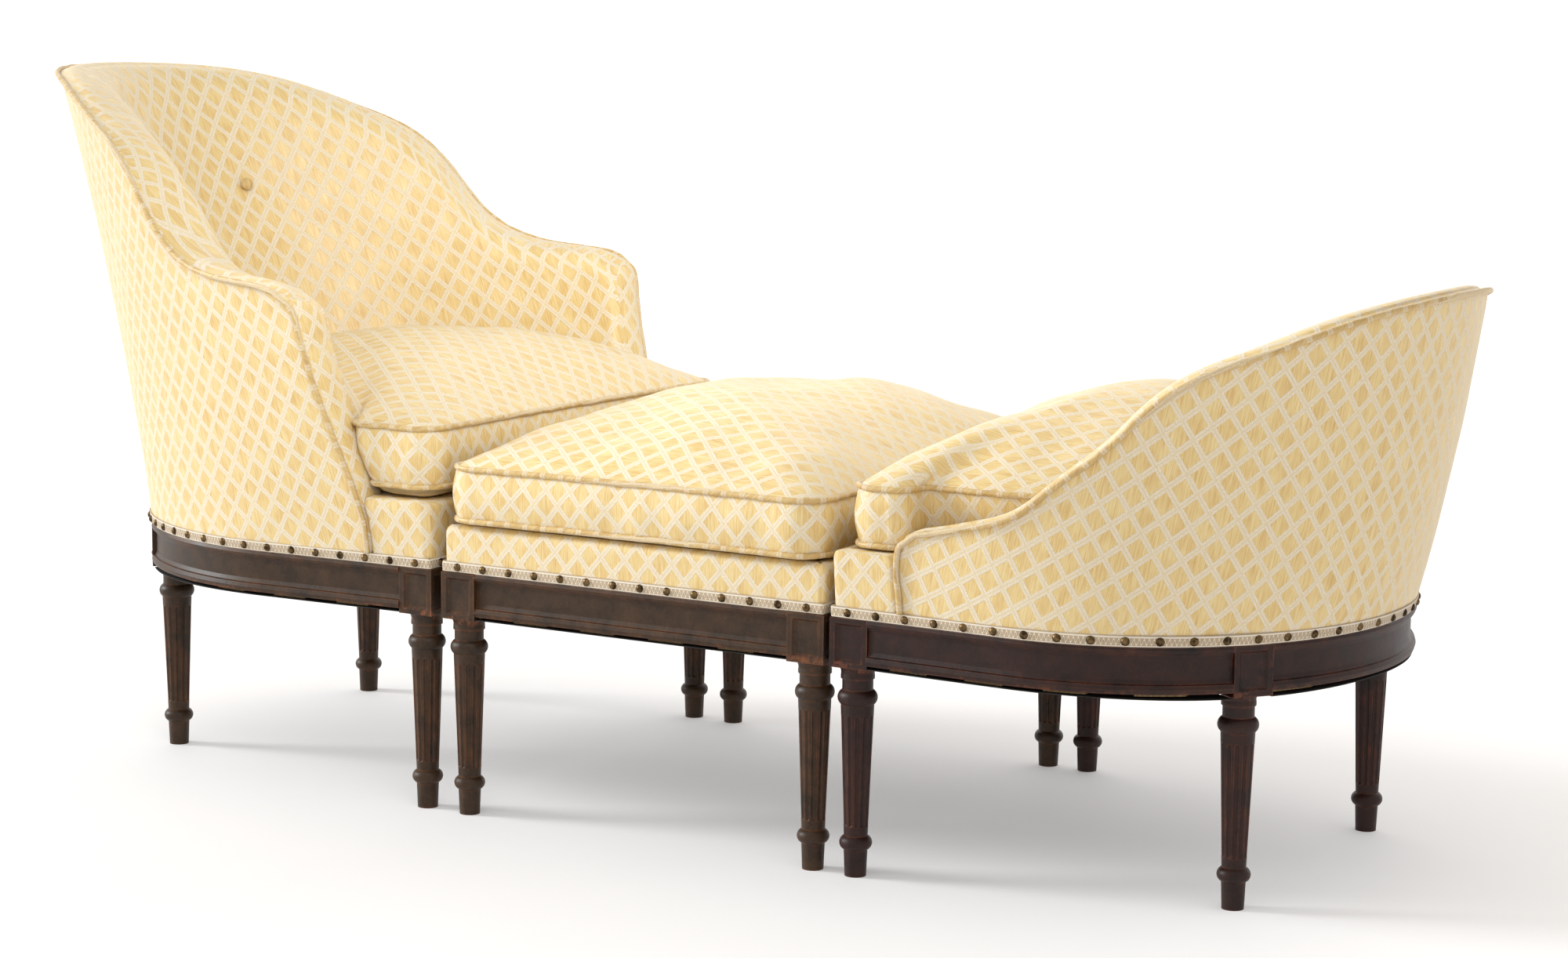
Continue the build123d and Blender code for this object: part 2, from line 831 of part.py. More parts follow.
def nails(unit):
    """The row of domed nails through the gimp."""
    height = rail_top + gimp_height / 2
    centre = unit.point(seat_depth(unit) / 2, 0, height)
    seats = []
    for run in unit.nail_runs(height):
        spaces = round((run.length - 2 * nail_margin) / nail_pitch)
        for index in range(spaces + 1):
            place = nail_margin + (run.length - 2 * nail_margin) * index / spaces
            position = run.position_at(place / run.length)
            outward = run.tangent_at(place / run.length).cross(Vector(0, 0, 1))
            if outward.dot(position - centre) < 0:
                outward = outward * -1
            seats.append(Plane(position - outward * nail_seat, z_dir=outward).location)
    single = nail()
    with BuildPart() as row:
        with Locations(*seats):
            add(single)
    return row.part


def wood_screws(unit):
    """Two screws through each glue block into its leg."""
    single = screw()
    middle = (rail_bottom + rail_top) / 2
    with BuildPart() as group:
        for name, leg in unit.legs.items():
            is_square = name.startswith("front") or isinstance(unit, Stool)
            for height in (middle - screw_spacing / 2, middle + screw_spacing / 2):
                place = screw_plane(unit, leg, is_square, height)
                add(single.moved(place.offset(-screw_head_height / 2).location))
    return group.part


def braces(unit, frame):
    """The four glue blocks inside the seat frame."""
    with BuildPart() as group:
        for name, leg in unit.legs.items():
            is_square = name.startswith("front") or isinstance(unit, Stool)
            add(corner_brace(unit, leg, is_square, frame))
    return group.part


def back_frame(chair):
    """Wooden frame of the arms and back: a curved panel with windows between its posts."""
    rear = chair.legs["rear_right"]
    low = tongue_top + frame_band
    band_shift = chair.direction(Vector(frame_band, 0, -frame_band))
    with BuildPart() as windows:
        add(chair.side_prism(frame_drop).moved(Location(band_shift)))
        with BuildSketch(chair.plane(low)):
            with Locations((rear.x - frame_post - chair.crest.reach / 2, 0)):
                Rectangle(chair.crest.reach, 3 * chair.crest.half_width)
            with Locations((rear.x + chair.crest.reach / 2, 0)):
                Rectangle(chair.crest.reach, 2 * (abs(rear.y) - frame_post))
        extrude(amount=chair.crest.height, mode=Mode.INTERSECT)
    with BuildPart() as frame:
        add(chair.tub(frame_inset))
        add(chair.tub(frame_inset + frame_thickness, front=-front_reach - overrun),
            mode=Mode.SUBTRACT)
        add(chair.side_prism(frame_drop), mode=Mode.INTERSECT)
        split(bisect_by=Plane.XY.offset(tongue_top), keep=Keep.TOP)
        add(windows.part, mode=Mode.SUBTRACT)
    return frame.part


def back_welt(chair):
    """Piping that follows the crest and runs down the fronts of the arms."""
    with BuildPart() as piping:
        add(chair.tub(welt_outer_inset))
        add(chair.tub(welt_outer_inset + welt_size, front=-front_reach - overrun),
            mode=Mode.SUBTRACT)
        add(chair.side_prism(0), mode=Mode.INTERSECT)
        add(chair.side_prism(welt_size), mode=Mode.SUBTRACT)
        split(bisect_by=Plane.XY.offset(rail_top + gimp_height + soft_gap), keep=Keep.TOP)
    return piping.part


def outside_cover(chair):
    """Fabric over the outside of the arms and back, up to the welt."""
    with BuildPart() as cover:
        add(chair.tub(cover_inset))
        add(chair.tub(cover_inset + cover_thickness, front=-front_reach - overrun),
            mode=Mode.SUBTRACT)
        add(chair.side_prism(welt_size + soft_gap), mode=Mode.INTERSECT)
    return cover.part


def back_padding(chair):
    """Stuffing and inside cover of the arms and back, over the frame and beside the welt."""
    with BuildPart() as frame_room:
        add(chair.tub(-overrun))
        add(chair.tub(padding_inset, front=-front_reach - overrun), mode=Mode.SUBTRACT)
        add(chair.side_prism(frame_drop - 2 * soft_gap), mode=Mode.INTERSECT)
    with BuildPart() as under_welt:
        add(chair.tub(frame_inset))
        add(chair.side_prism(welt_size + soft_gap), mode=Mode.INTERSECT)
    with BuildPart() as padding:
        add(chair.tub(welt_outer_inset + welt_size + soft_gap))
        add(chair.side_prism(0), mode=Mode.INTERSECT)
        add(under_welt.part)
        add(chair.inside(0), mode=Mode.SUBTRACT)
        add(frame_room.part, mode=Mode.SUBTRACT)
        split(bisect_by=Plane.XY.offset(tongue_top), keep=Keep.TOP)
    return padding.part


def button():
    """A covered button, its underside on the origin plane."""
    with BuildPart() as piece:
        Cylinder(button_radius, button_height + button_seat,
                 align=(Align.CENTER, Align.CENTER, Align.MIN))
        fillet(piece.faces().sort_by(Axis.Z)[-1].edges(), button_round)
    return piece.part


def buttons(chair):
    """Two covered buttons in the inside back."""
    height = rail_top + (chair.crest.height - rail_top) * button_height_share
    middle, top = chair.inner_levels[1:]
    level = middle.blend(top, height)
    lean = (top.reach - middle.reach) / (top.height - middle.height)
    single = button()
    with BuildPart() as pair:
        for way in (1, -1):
            y = way * button_spacing / 2
            turn = asin(y / level.back_radius)
            x = level.back_centre + level.back_radius * cos(turn)
            inward = Vector(-cos(turn), -sin(turn), lean).normalized()
            seat = Plane(chair.point(x, y, height) - chair.direction(inward) * button_seat,
                         z_dir=chair.direction(inward))
            add(single.moved(seat.location))
    return pair.part


@dataclass
class CushionSize:
    """A cushion's plan in its unit's plane and the heights of its seams and crown."""

    front: float
    back: float
    half_width: float
    back_corner: float
    bottom: float
    low_welt: float
    high_welt: float
    crown: float


def cushion_outline(size, inset, share=0):
    """Square with round corners and slightly drawn-in sides, shrunk towards its middle."""
    middle = (size.front + size.back) / 2
    half_x = ((size.back - size.front) / 2 - inset) * (1 - share)
    half_y = (size.half_width - inset) * (1 - share)
    limit = min(half_x, half_y) * crown_corner_limit_share
    growth = min(half_x, half_y) / (1 - share) * crown_round_share * share
    front_corner = min(cushion_corner_radius + growth, limit)
    back_corner = min(size.back_corner, limit)
    draw = cushion_draw_in * (1 - share)
    corners = []
    for way_x, way_y in ((-1, 1), (1, 1), (1, -1), (-1, -1)):
        radius = front_corner if way_x < 0 else back_corner
        x = middle + way_x * half_x
        y = way_y * half_y
        arc_middle = radius * (1 - cos(radians(45)))
        on_x = (x - way_x * radius, y)
        on_y = (x, y - way_y * radius)
        bend = (x - way_x * arc_middle, y - way_y * arc_middle)
        corners.append((on_y, bend, on_x) if way_x * way_y < 0 else (on_x, bend, on_y))
    following = corners[1:] + corners[:1]
    outward_ways = ((0, 1), (1, 0), (0, -1), (-1, 0))
    for corner, next_corner, (out_x, out_y) in zip(corners, following, outward_ways):
        ThreePointArc(*corner)
        start_x, start_y = corner[-1]
        end_x, end_y = next_corner[0]
        drawn = ((start_x + end_x) / 2 - out_x * draw, (start_y + end_y) / 2 - out_y * draw)
        ThreePointArc(corner[-1], drawn, next_corner[0])


def cushion(unit, size):
    """Loose cushion: flat underside, boxed edge between two seams, and a high crown."""
    crown_rise = size.crown - size.high_welt
    stages = (
        ((size.bottom, cushion_bottom_inset, 0), (size.low_welt, 0, 0)),
        ((size.low_welt, 0, 0), ((size.low_welt + size.high_welt) / 2, -cushion_bulge, 0),
         (size.high_welt, 0, 0)),
        ((size.high_welt, 0, 0),
         *((size.high_welt + crown_rise * rise_share, 0, inward_share)
           for inward_share, rise_share in crown_shares)),
    )
    with BuildPart() as body:
        for stage in stages:
            for height, inset, share in stage:
                with BuildSketch(unit.plane(height)):
                    with BuildLine():
                        cushion_outline(size, inset, share)
                    make_face()
            loft()
        if isinstance(unit, Chair):
            add(unit.beside_cushion(cushion_clearance), mode=Mode.SUBTRACT)
    return body.part


def build_seat(unit, cushion_size):
    """Everything that the chairs and the stool have alike."""
    inner_y = front_leg_half_track - block_size / 2
    rail_pieces = {
        "front_rail": straight_rail(unit, -front_reach, -inner_y, Vector(-1, 0, 0), 2 * inner_y),
    }
    if isinstance(unit, Chair):
        names = ("side_rail_left", "back_rail", "side_rail_right")
        for name, solid in zip(names, curved_rails(unit).solids().sort_by(Axis.Y)):
            with BuildPart() as curved:
                add(solid)
            rail_pieces[name] = curved.part
    else:
        length = ottoman_leg_pitch - block_size
        far = ottoman_leg_pitch + front_reach
        rail_pieces["back_rail"] = straight_rail(unit, far, inner_y, Vector(1, 0, 0), 2 * inner_y)
        rail_pieces["side_rail_left"] = straight_rail(
            unit, far - block_size, -ottoman_half_width, Vector(0, -1, 0), length)
        rail_pieces["side_rail_right"] = straight_rail(
            unit, front_reach, ottoman_half_width, Vector(0, 1, 0), length)
    with BuildPart() as rails:
        for rail in rail_pieces.values():
            add(rail)
    turning = turned_leg()
    leg_pieces = {}
    for name, leg in unit.legs.items():
        way = -1 if name.startswith("front") else (1 if isinstance(unit, Stool) else None)
        leg_pieces[f"leg_{name}"] = corner_leg(unit, leg, turning, rails.part, way)
    with BuildPart() as frame:
        add(rails.part)
        for piece in leg_pieces.values():
            add(piece)
    pieces = {
        **leg_pieces,
        **rail_pieces,
        "corner_blocks": braces(unit, frame.part),
        "corner_screws": wood_screws(unit),
        "webbing": webbing(unit),
        "springs": springs(unit),
        "dust_cover": dust_cover(unit),
        "deck": deck(unit),
        "gimp": gimp(unit),
        "nails": nails(unit),
        "cushion": cushion(unit, cushion_size),
    }
    for name, piece in pieces.items():
        unit.save(name, piece)


def build_back(chair, has_buttons):
    """The arms and back of a tub chair."""
    chair.save("back_frame", back_frame(chair))
    chair.save("back_welt", back_welt(chair))
    chair.save("outside_cover", outside_cover(chair))
    chair.save("back_padding", back_padding(chair))
    if has_buttons:
        chair.save("buttons", buttons(chair))


head_levels = (
    PlanLevel(rail_top, head_rail_reach, head_rail_half_width, head_rail_back_radius,
              head_rail_back_turn, head_rail_toe_in),
    PlanLevel(head_arm_height, head_arm_reach, head_arm_half_width, head_arm_back_radius,
              head_arm_back_turn, head_arm_toe_in),
    PlanLevel(head_crest_height, head_crest_reach, head_crest_half_width,
              head_crest_back_radius, head_crest_back_turn, head_crest_toe_in),
)
foot_levels = (
    PlanLevel(rail_top, foot_rail_reach, foot_rail_half_width, foot_rail_back_radius,
              foot_rail_back_turn, foot_rail_toe_in),
    PlanLevel(foot_arm_height, foot_arm_reach, foot_arm_half_width, foot_arm_back_radius,
              foot_arm_back_turn, foot_arm_toe_in),
    PlanLevel(foot_crest_height, foot_crest_reach, foot_crest_half_width,
              foot_crest_back_radius, foot_crest_back_turn, foot_crest_toe_in),
)
head_chair = Chair("head", head_line, -1, head_deck_top, head_levels, head_outline_shares,
                   head_arm_front_rows, head_back_padding, head_rear_leg_turn)
foot_chair = Chair("foot", foot_line, 1, foot_deck_top, foot_levels, foot_outline_shares,
                   foot_arm_front_rows, foot_back_padding, foot_rear_leg_turn)
ottoman = Stool("ottoman", ottoman_front_line, 1, ottoman_deck_top)

head_cushion = CushionSize(
    -head_cushion_front, head_cushion_back, head_cushion_half_width, head_cushion_back_corner,
    head_deck_top + soft_gap, head_cushion_low_welt, head_cushion_high_welt, head_cushion_crown)
foot_cushion = CushionSize(
    -foot_cushion_front, foot_cushion_back, foot_cushion_half_width, foot_cushion_back_corner,
    foot_deck_top + soft_gap, foot_cushion_low_welt, foot_cushion_high_welt, foot_cushion_crown)
ottoman_cushion = CushionSize(
    ottoman_cushion_margin - front_reach,
    ottoman_leg_pitch + front_reach - ottoman_cushion_margin,
    ottoman_cushion_half_width, cushion_corner_radius,
    ottoman_deck_top + soft_gap, ottoman_cushion_low_welt, ottoman_cushion_high_welt,
    ottoman_cushion_crown)

os.makedirs("parts", exist_ok=True)
build_seat(head_chair, head_cushion)
build_back(head_chair, True)
build_seat(ottoman, ottoman_cushion)
build_seat(foot_chair, foot_cushion)
build_back(foot_chair, False)
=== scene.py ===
"""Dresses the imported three-part chaise longue: upholstery, cushions, trim, wood, floor and light."""

from __future__ import annotations

import logging
import math
from collections.abc import Callable, Iterator, Sequence
from contextlib import contextmanager
from dataclasses import dataclass, field
from enum import Enum
from typing import NamedTuple

import bmesh
import bpy
import numpy as np
from mathutils import Matrix, Vector

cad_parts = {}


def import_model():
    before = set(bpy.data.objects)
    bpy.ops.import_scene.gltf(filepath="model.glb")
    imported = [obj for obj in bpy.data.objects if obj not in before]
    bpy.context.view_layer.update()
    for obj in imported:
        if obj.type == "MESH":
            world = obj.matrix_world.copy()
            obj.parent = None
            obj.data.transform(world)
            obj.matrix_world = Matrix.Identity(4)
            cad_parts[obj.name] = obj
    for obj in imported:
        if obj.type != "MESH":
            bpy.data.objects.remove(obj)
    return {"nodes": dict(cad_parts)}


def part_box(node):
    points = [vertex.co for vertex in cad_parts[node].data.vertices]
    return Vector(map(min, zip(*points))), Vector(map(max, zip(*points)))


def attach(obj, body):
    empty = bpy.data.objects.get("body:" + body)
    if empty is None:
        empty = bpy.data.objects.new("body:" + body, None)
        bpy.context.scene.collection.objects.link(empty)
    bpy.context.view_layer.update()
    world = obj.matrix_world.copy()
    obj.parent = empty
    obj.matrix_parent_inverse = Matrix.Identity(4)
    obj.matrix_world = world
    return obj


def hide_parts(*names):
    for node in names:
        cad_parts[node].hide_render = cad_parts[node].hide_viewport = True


logging.basicConfig(level=logging.INFO, format="%(message)s")
LOG = logging.getLogger("chaise")

Array = np.ndarray
Colour = tuple[float, float, float]

RAIL_TOP = 0.320
FRONT_REACH = 0.0257
COVER_INSET = 0.003
WELT_RADIUS = 0.0037
WELT_OUT = 0.0012
WELT_SIDES = 10
BIAS = 0.7
SOFT_GAP = 0.0006
CREST_PASSES = 80
NOTCH_BEND = 0.010
EDGE_ROUND = 0.0112
LATTICE_WIDTH = 0.0350
LATTICE_HEIGHT = 0.0400
ARM_PADDING = 0.068
CREST_PADDING = 0.066
STOOL_BACK = 0.5142 + FRONT_REACH
STOOL_HALF_WIDTH = 0.3298 + FRONT_REACH
STOOL_DECK_TOP = 0.382
SIDEWAYS = (1.0, -1.0, 1.0)


class Slot(Enum):
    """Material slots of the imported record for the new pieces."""

    DAMASK = "gold_damask"
    BRAID = "cream_braid"
    CLOTH = "black_cloth"


class Side(Enum):
    """The way from a unit's front leg line to its back, along X."""

    HEAD = -1.0
    FOOT = 1.0


def smoothstep(values: Array | float, low: float, high: float) -> Array:
    """Rises smoothly from 0 to 1 between low and high."""
    share = np.clip((np.asarray(values, float) - low) / (high - low), 0.0, 1.0)
    return share * share * (3.0 - 2.0 * share)


def soft_noise(points: Array, pitch: float, seed: int) -> Array:
    """Smooth repeatable noise from crossing waves.

    Args:
        points: Places, in metres, as rows of three.
        pitch: Rough distance between two crests.
        seed: Chooses another set of waves.

    Returns:
        One value for each place, mostly within -1 and 1.
    """
    generator = np.random.default_rng(seed)
    total = np.zeros(points.shape[:-1])
    for _ in range(7):
        way = generator.normal(size=3)
        way /= np.linalg.norm(way)
        wave = 2.0 * math.pi / (pitch * generator.uniform(0.7, 1.6))
        total += np.sin(points @ way * wave + generator.uniform(0.0, 2.0 * math.pi))
    return total / 3.2


def natural_spline(points: Array, count: int) -> Array:
    """Smooth curve through points, as evenly numbered samples.

    Args:
        points: Rows of coordinates that the curve passes through.
        count: Number of samples.

    Returns:
        The samples, from the first point to the last.
    """
    chord = arc_lengths(points)
    gaps = np.diff(chord)
    size = len(points)
    system = np.eye(size)
    right = np.zeros_like(points)
    for i in range(1, size - 1):
        system[i, i - 1:i + 2] = gaps[i - 1], 2.0 * (gaps[i - 1] + gaps[i]), gaps[i]
        right[i] = 6.0 * ((points[i + 1] - points[i]) / gaps[i]
                          - (points[i] - points[i - 1]) / gaps[i - 1])
    bends = np.linalg.solve(system, right)
    places = np.linspace(0.0, chord[-1], count)
    index = np.clip(np.searchsorted(chord, places, side="right") - 1, 0, size - 2)
    gap = gaps[index][:, None]
    before = ((chord[index + 1] - places) / gaps[index])[:, None]
    after = 1.0 - before
    curve = before * points[index] + after * points[index + 1]
    curve += ((before ** 3 - before) * bends[index]
              + (after ** 3 - after) * bends[index + 1]) * gap ** 2 / 6.0
    return curve


def arc_lengths(points: Array) -> Array:
    """Distance along a polyline at each of its points."""
    steps = np.linalg.norm(np.diff(points, axis=0), axis=1)
    return np.concatenate([[0.0], np.cumsum(steps)])


def resample(points: Array, count: int) -> Array:
    """The polyline with its points spread evenly along it."""
    lengths = arc_lengths(points)
    places = np.linspace(0.0, lengths[-1], count)
    return np.stack([np.interp(places, lengths, points[:, k])
                     for k in range(points.shape[1])], axis=1)


def unit(vectors: Array) -> Array:
    """The vectors at a length of one."""
    return vectors / np.linalg.norm(vectors, axis=-1, keepdims=True)


def close_loop(points: Array) -> Array:
    """The points of a loop with the first one again at the end."""
    return np.concatenate([points, points[:1]])


def both_sides(half: Array, flip: Sequence[float]) -> Array:
    """Adds the mirrored half behind a half that ends on the plane of symmetry."""
    return np.concatenate([half, (half * np.array(flip))[-2::-1]])


def unevenness(path: Array, pitch: float, seed: int) -> Array:
    """How far a hand-sewn cord strays from its path at each place."""
    return 0.0004 * np.stack([soft_noise(path, pitch, seed + k) for k in range(3)], axis=1)


def cell_corners(grid: Array) -> Array:
    """The four corners of every cell of a grid of vertex numbers or coordinates."""
    return np.stack([grid[:-1, :-1], grid[1:, :-1], grid[1:, 1:], grid[:-1, 1:]], axis=2)


def add_object(name: str, data: bpy.types.ID) -> bpy.types.Object:
    """Puts a new object into the scene."""
    thing = bpy.data.objects.new(name, data)
    bpy.context.scene.collection.objects.link(thing)
    return thing


@contextmanager
def edited(mesh: bpy.types.Mesh) -> Iterator[bmesh.types.BMesh]:
    """Opens a mesh for editing and writes it back."""
    work = bmesh.new()
    work.from_mesh(mesh)
    yield work
    work.to_mesh(mesh)
    work.free()


@dataclass(frozen=True)
class PlanLevel:
    """Outline of a tub at one height: a round back, two side arcs and toed-in sides."""

    height: float
    reach: float
    half_width: float
    back_radius: float
    back_turn: float
    toe_in: float

    def padded(self, arm: float, back: float) -> "PlanLevel":
        """The inside of the padding at this height."""
        return PlanLevel(self.height, self.reach - COVER_INSET - back,
                         self.half_width - COVER_INSET - arm,
                         self.back_radius - COVER_INSET - (arm + back) / 2.0,
                         self.back_turn, self.toe_in)


class Arcs(NamedTuple):
    """The back's arc and the side's arc of an outline."""

    back_x: Array
    back_r: Array
    side_x: Array
    side_y: Array
    side_r: Array
    turn: Array
    toe: Array
    back_length: Array
    side_length: Array


class TubPlan:
    """The outline that grows through three levels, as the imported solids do."""

    def __init__(self, levels: Sequence[PlanLevel]) -> None:
        """Keeps the three levels."""
        self.levels = tuple(levels)

    def numbers(self, height: Array) -> tuple[Array, Array, Array, Array, Array]:
        """Reach, half width, back radius, back turn and toe-in at heights.

        Args:
            height: Heights above the floor.

        Returns:
            The five values, the turns in radians.
        """
        low, middle, high = self.levels
        z = np.asarray(height, float)
        a, b, c = low.height, middle.height, high.height
        shares = ((z - b) * (z - c) / ((a - b) * (a - c)),
                  (z - a) * (z - c) / ((b - a) * (b - c)),
                  (z - a) * (z - b) / ((c - a) * (c - b)))

        def mix(name: str) -> Array:
            return sum(share * getattr(level, name)
                       for share, level in zip(shares, self.levels))

        return (mix("reach"), mix("half_width"), mix("back_radius"),
                np.radians(mix("back_turn")), np.radians(mix("toe_in")))

    def arcs(self, height: Array, inset: float) -> Arcs:
        """Centres, radii, turns and lengths of the outline's arcs.

        Args:
            height: Heights above the floor.
            inset: Distance inwards from the outline.

        Returns:
            The arcs of one half.
        """
        reach, width, back_radius, turn, toe = self.numbers(height)
        side_radius = (width - back_radius * np.sin(turn)) / (1.0 - np.sin(turn))
        back_x = reach - back_radius
        side_x = back_x + (back_radius - side_radius) * np.cos(turn)
        side_y = width - side_radius
        back_r = back_radius - inset
        side_r = side_radius - inset
        back_length = back_r * turn
        side_length = side_r * (math.pi / 2.0 + toe - turn)
        return Arcs(back_x, back_r, side_x, side_y, side_r, turn, toe, back_length,
                    side_length)

    def point(self, height: Array, distance: Array, inset: float = 0.0) -> Array:
        """Places on the outline at distances from the middle of the back.

        Args:
            height: Heights above the floor.
            distance: Distances along the outline from the middle of the back.
            inset: Distance inwards from the outline.

        Returns:
            Rows of x behind the front leg line, y to the side, and height.
        """
        z, s = np.broadcast_arrays(np.asarray(height, float), np.asarray(distance, float))
        (back_x, back_r, side_x, side_y, side_r, turn, toe,
         back_length, side_length) = self.arcs(z, inset)
        back_angle = np.minimum(s, back_length) / back_r
        side_angle = turn + np.clip(s - back_length, 0.0, side_length) / side_r
        beyond = np.maximum(s - back_length - side_length, 0.0)
        on_back = s <= back_length
        x = np.where(on_back, back_x + back_r * np.cos(back_angle),
                     side_x + side_r * np.cos(side_angle) - beyond * np.cos(toe))
        y = np.where(on_back, back_r * np.sin(back_angle),
                     side_y + side_r * np.sin(side_angle) - beyond * np.sin(toe))
        return np.stack([x, y, z], axis=-1)

    def distance_at(self, height: Array, x: Array, inset: float = 0.0) -> Array:
        """Distance along the outline from the middle of the back to where it reaches x.

        Args:
            height: Heights above the floor.
            x: Distances behind the front leg line.
            inset: Distance inwards from the outline.

        Returns:
            The distances.
        """
        (back_x, back_r, side_x, _, side_r, turn, toe,
         back_length, side_length) = self.arcs(height, inset)
        side_end_x = side_x + side_r * np.cos(math.pi / 2.0 + toe)
        back_end_x = back_x + back_r * np.cos(turn)
        on_straight = back_length + side_length + (side_end_x - x) / np.cos(toe)
        side_turn = np.arccos(np.clip((x - side_x) / side_r, -1.0, 1.0))
        on_side = back_length + side_r * (side_turn - turn)
        on_back = back_r * np.arccos(np.clip((x - back_x) / back_r, -1.0, 1.0))
        return np.where(x <= side_end_x, on_straight, np.where(x <= back_end_x, on_side, on_back))


@dataclass(frozen=True)
class Placement:
    """Where a unit stands: its front leg line and the way towards its back."""

    line_x: float
    side: Side

    def place(self, points: Array) -> Array:
        """Moves local places (x behind the leg line, y, z) into the row."""
        moved = np.array(points, float)
        moved[..., 0] = self.line_x + self.side.value * moved[..., 0]
        return moved


class MeshMaker:
    """Makes mesh objects from rings of points."""

    @staticmethod
    def build(name: str, vertices: Array, faces: list[list[int]],
              corners: Array) -> bpy.types.Object:
        """Makes one closed mesh, merges its doubles and turns its faces outwards.

        Args:
            name: Name of the new piece.
            vertices: Rows of three.
            faces: Vertex numbers of each face.
            corners: Weave coordinates of each face's corners, in metres.

        Returns:
            The new object, at the origin.
        """
        mesh = bpy.data.meshes.new(name)
        mesh.from_pydata(vertices.tolist(), [], faces)
        layer = mesh.uv_layers.new(name="Weave")
        layer.data.foreach_set("uv", corners.astype(np.float32).ravel())
        with edited(mesh) as work:
            bmesh.ops.remove_doubles(work, verts=work.verts, dist=1e-5)
            bmesh.ops.dissolve_degenerate(work, edges=work.edges, dist=1e-6)
            bmesh.ops.recalc_face_normals(work, faces=work.faces)
        mesh.polygons.foreach_set("use_smooth", [True] * len(mesh.polygons))
        mesh.update()
        return add_object(name, mesh)

    @staticmethod
    def skin(rings: Array, low_uv: Array, high_uv: Array,
             closed: bool = False) -> tuple[list[list[int]], Array]:
        """Faces between neighbouring rings, each of which is a closed loop of points.

        Args:
            rings: Points, ring by ring, with the same number in each.
            low_uv: Weave coordinates at the start of each strip, for each ring.
            high_uv: The same at the end of each strip.
            closed: Whether the last ring joins the first.

        Returns:
            Vertex numbers of each face and weave coordinates of each face's corners.
        """
        numbers = np.arange(rings.shape[0] * rings.shape[1]).reshape(rings.shape[:2])
        numbers = np.column_stack([numbers, numbers[:, 0]])
        if closed:
            numbers = close_loop(numbers)
        corners = np.stack([low_uv[:-1], low_uv[1:], high_uv[1:], high_uv[:-1]], axis=2)
        return cell_corners(numbers).reshape(-1, 4).tolist(), corners.reshape(-1, 2)

    @classmethod
    def tube(cls, name: str, path: Array, closed: bool) -> bpy.types.Object:
        """Makes a piping cord along a path, with bias-cut weave coordinates.

        Args:
            name: Name of the new piece.
            path: Places along the middle of the cord.
            closed: Whether the path closes on itself.

        Returns:
            The new object.
        """
        count = len(path)
        if closed:
            along = np.roll(path, -1, axis=0) - np.roll(path, 1, axis=0)
        else:
            along = np.gradient(path, axis=0)
        along = unit(along)
        normal = np.zeros_like(path)
        up = np.array([0.0, 0.0, 1.0])
        if abs(along[0] @ up) > 0.9:
            up = np.array([0.0, 1.0, 0.0])
        previous = np.cross(along[0], up)
        for i in range(count):
            previous = unit(previous - along[i] * (previous @ along[i]))
            normal[i] = previous
        side = np.cross(along, normal)
        if closed:
            end = unit(previous - along[0] * (previous @ along[0]))
            slip = math.atan2(np.cross(end, normal[0]) @ along[0], end @ normal[0])
            turns = slip * np.arange(count) / count
            normal = normal * np.cos(turns)[:, None] + side * np.sin(turns)[:, None]
            side = np.cross(along, normal)
        angles = np.linspace(0.0, 2.0 * math.pi, WELT_SIDES, endpoint=False)[None, :, None]
        rings = path[:, None] + WELT_RADIUS * (np.cos(angles) * normal[:, None]
                                               + np.sin(angles) * side[:, None])
        lengths = arc_lengths(close_loop(path) if closed else path)[:, None]
        girth = 2.0 * math.pi * WELT_RADIUS * np.linspace(0.0, 1.0, WELT_SIDES + 1)
        weave = BIAS * np.stack([lengths + girth, lengths - girth], axis=-1)
        faces, corners = cls.skin(rings, weave[:, :-1], weave[:, 1:], closed)
        piece = cls.build(name, rings.reshape(-1, 3), faces, corners)
        if not closed:
            with edited(piece.data) as work:
                rims = [edge for edge in work.edges if edge.is_boundary]
                bmesh.ops.holes_fill(work, edges=rims, sides=0)
                bmesh.ops.recalc_face_normals(work, faces=work.faces)
        return piece


@dataclass(frozen=True)
class ChairShape:
    """A tub chair's plan levels, side outline and fabric lay."""

    name: str
    body: str
    placement: Placement
    levels: tuple[PlanLevel, PlanLevel, PlanLevel]
    shares: tuple[tuple[float, float], ...]
    back_padding: float
    deck_top: float
    weave_radius: float
    button_spacing: float | None

    def inner_levels(self) -> tuple[PlanLevel, ...]:
        """The inside of the padding at the three levels."""
        low, middle, crest = self.levels
        return (low.padded(ARM_PADDING, self.back_padding),
                middle.padded(ARM_PADDING, self.back_padding),
                crest.padded(ARM_PADDING, CREST_PADDING))


class SideProfile:
    """Arm front and crest of a tub chair, seen from the side."""

    def __init__(self, shape: ChairShape) -> None:
        """Draws the outline through the shape's shares of its reach and rise."""
        crest = shape.levels[-1]
        rise = crest.height - RAIL_TOP
        rows = np.array([(crest.reach * along, RAIL_TOP + rise * up)
                         for along, up in shape.shares])
        self.curve = natural_spline(rows, 1200)
        slope = np.gradient(self.curve, axis=0)
        level = np.abs(slope[:, 1]) < np.abs(slope[:, 0])
        level[:60] = False
        self.corner = int(np.argmax(level))
        self.corner_height = float(self.curve[self.corner, 1])

    def front(self, height: Array) -> Array:
        """How far behind the leg line the arm front is at a height."""
        part = self.curve[:self.corner + 1]
        return np.interp(height, part[:, 1], part[:, 0])

    def crest(self, x: Array) -> Array:
        """Height of the crest at a distance behind the leg line."""
        part = self.curve[self.corner:]
        return np.interp(x, part[:, 0], part[:, 1])


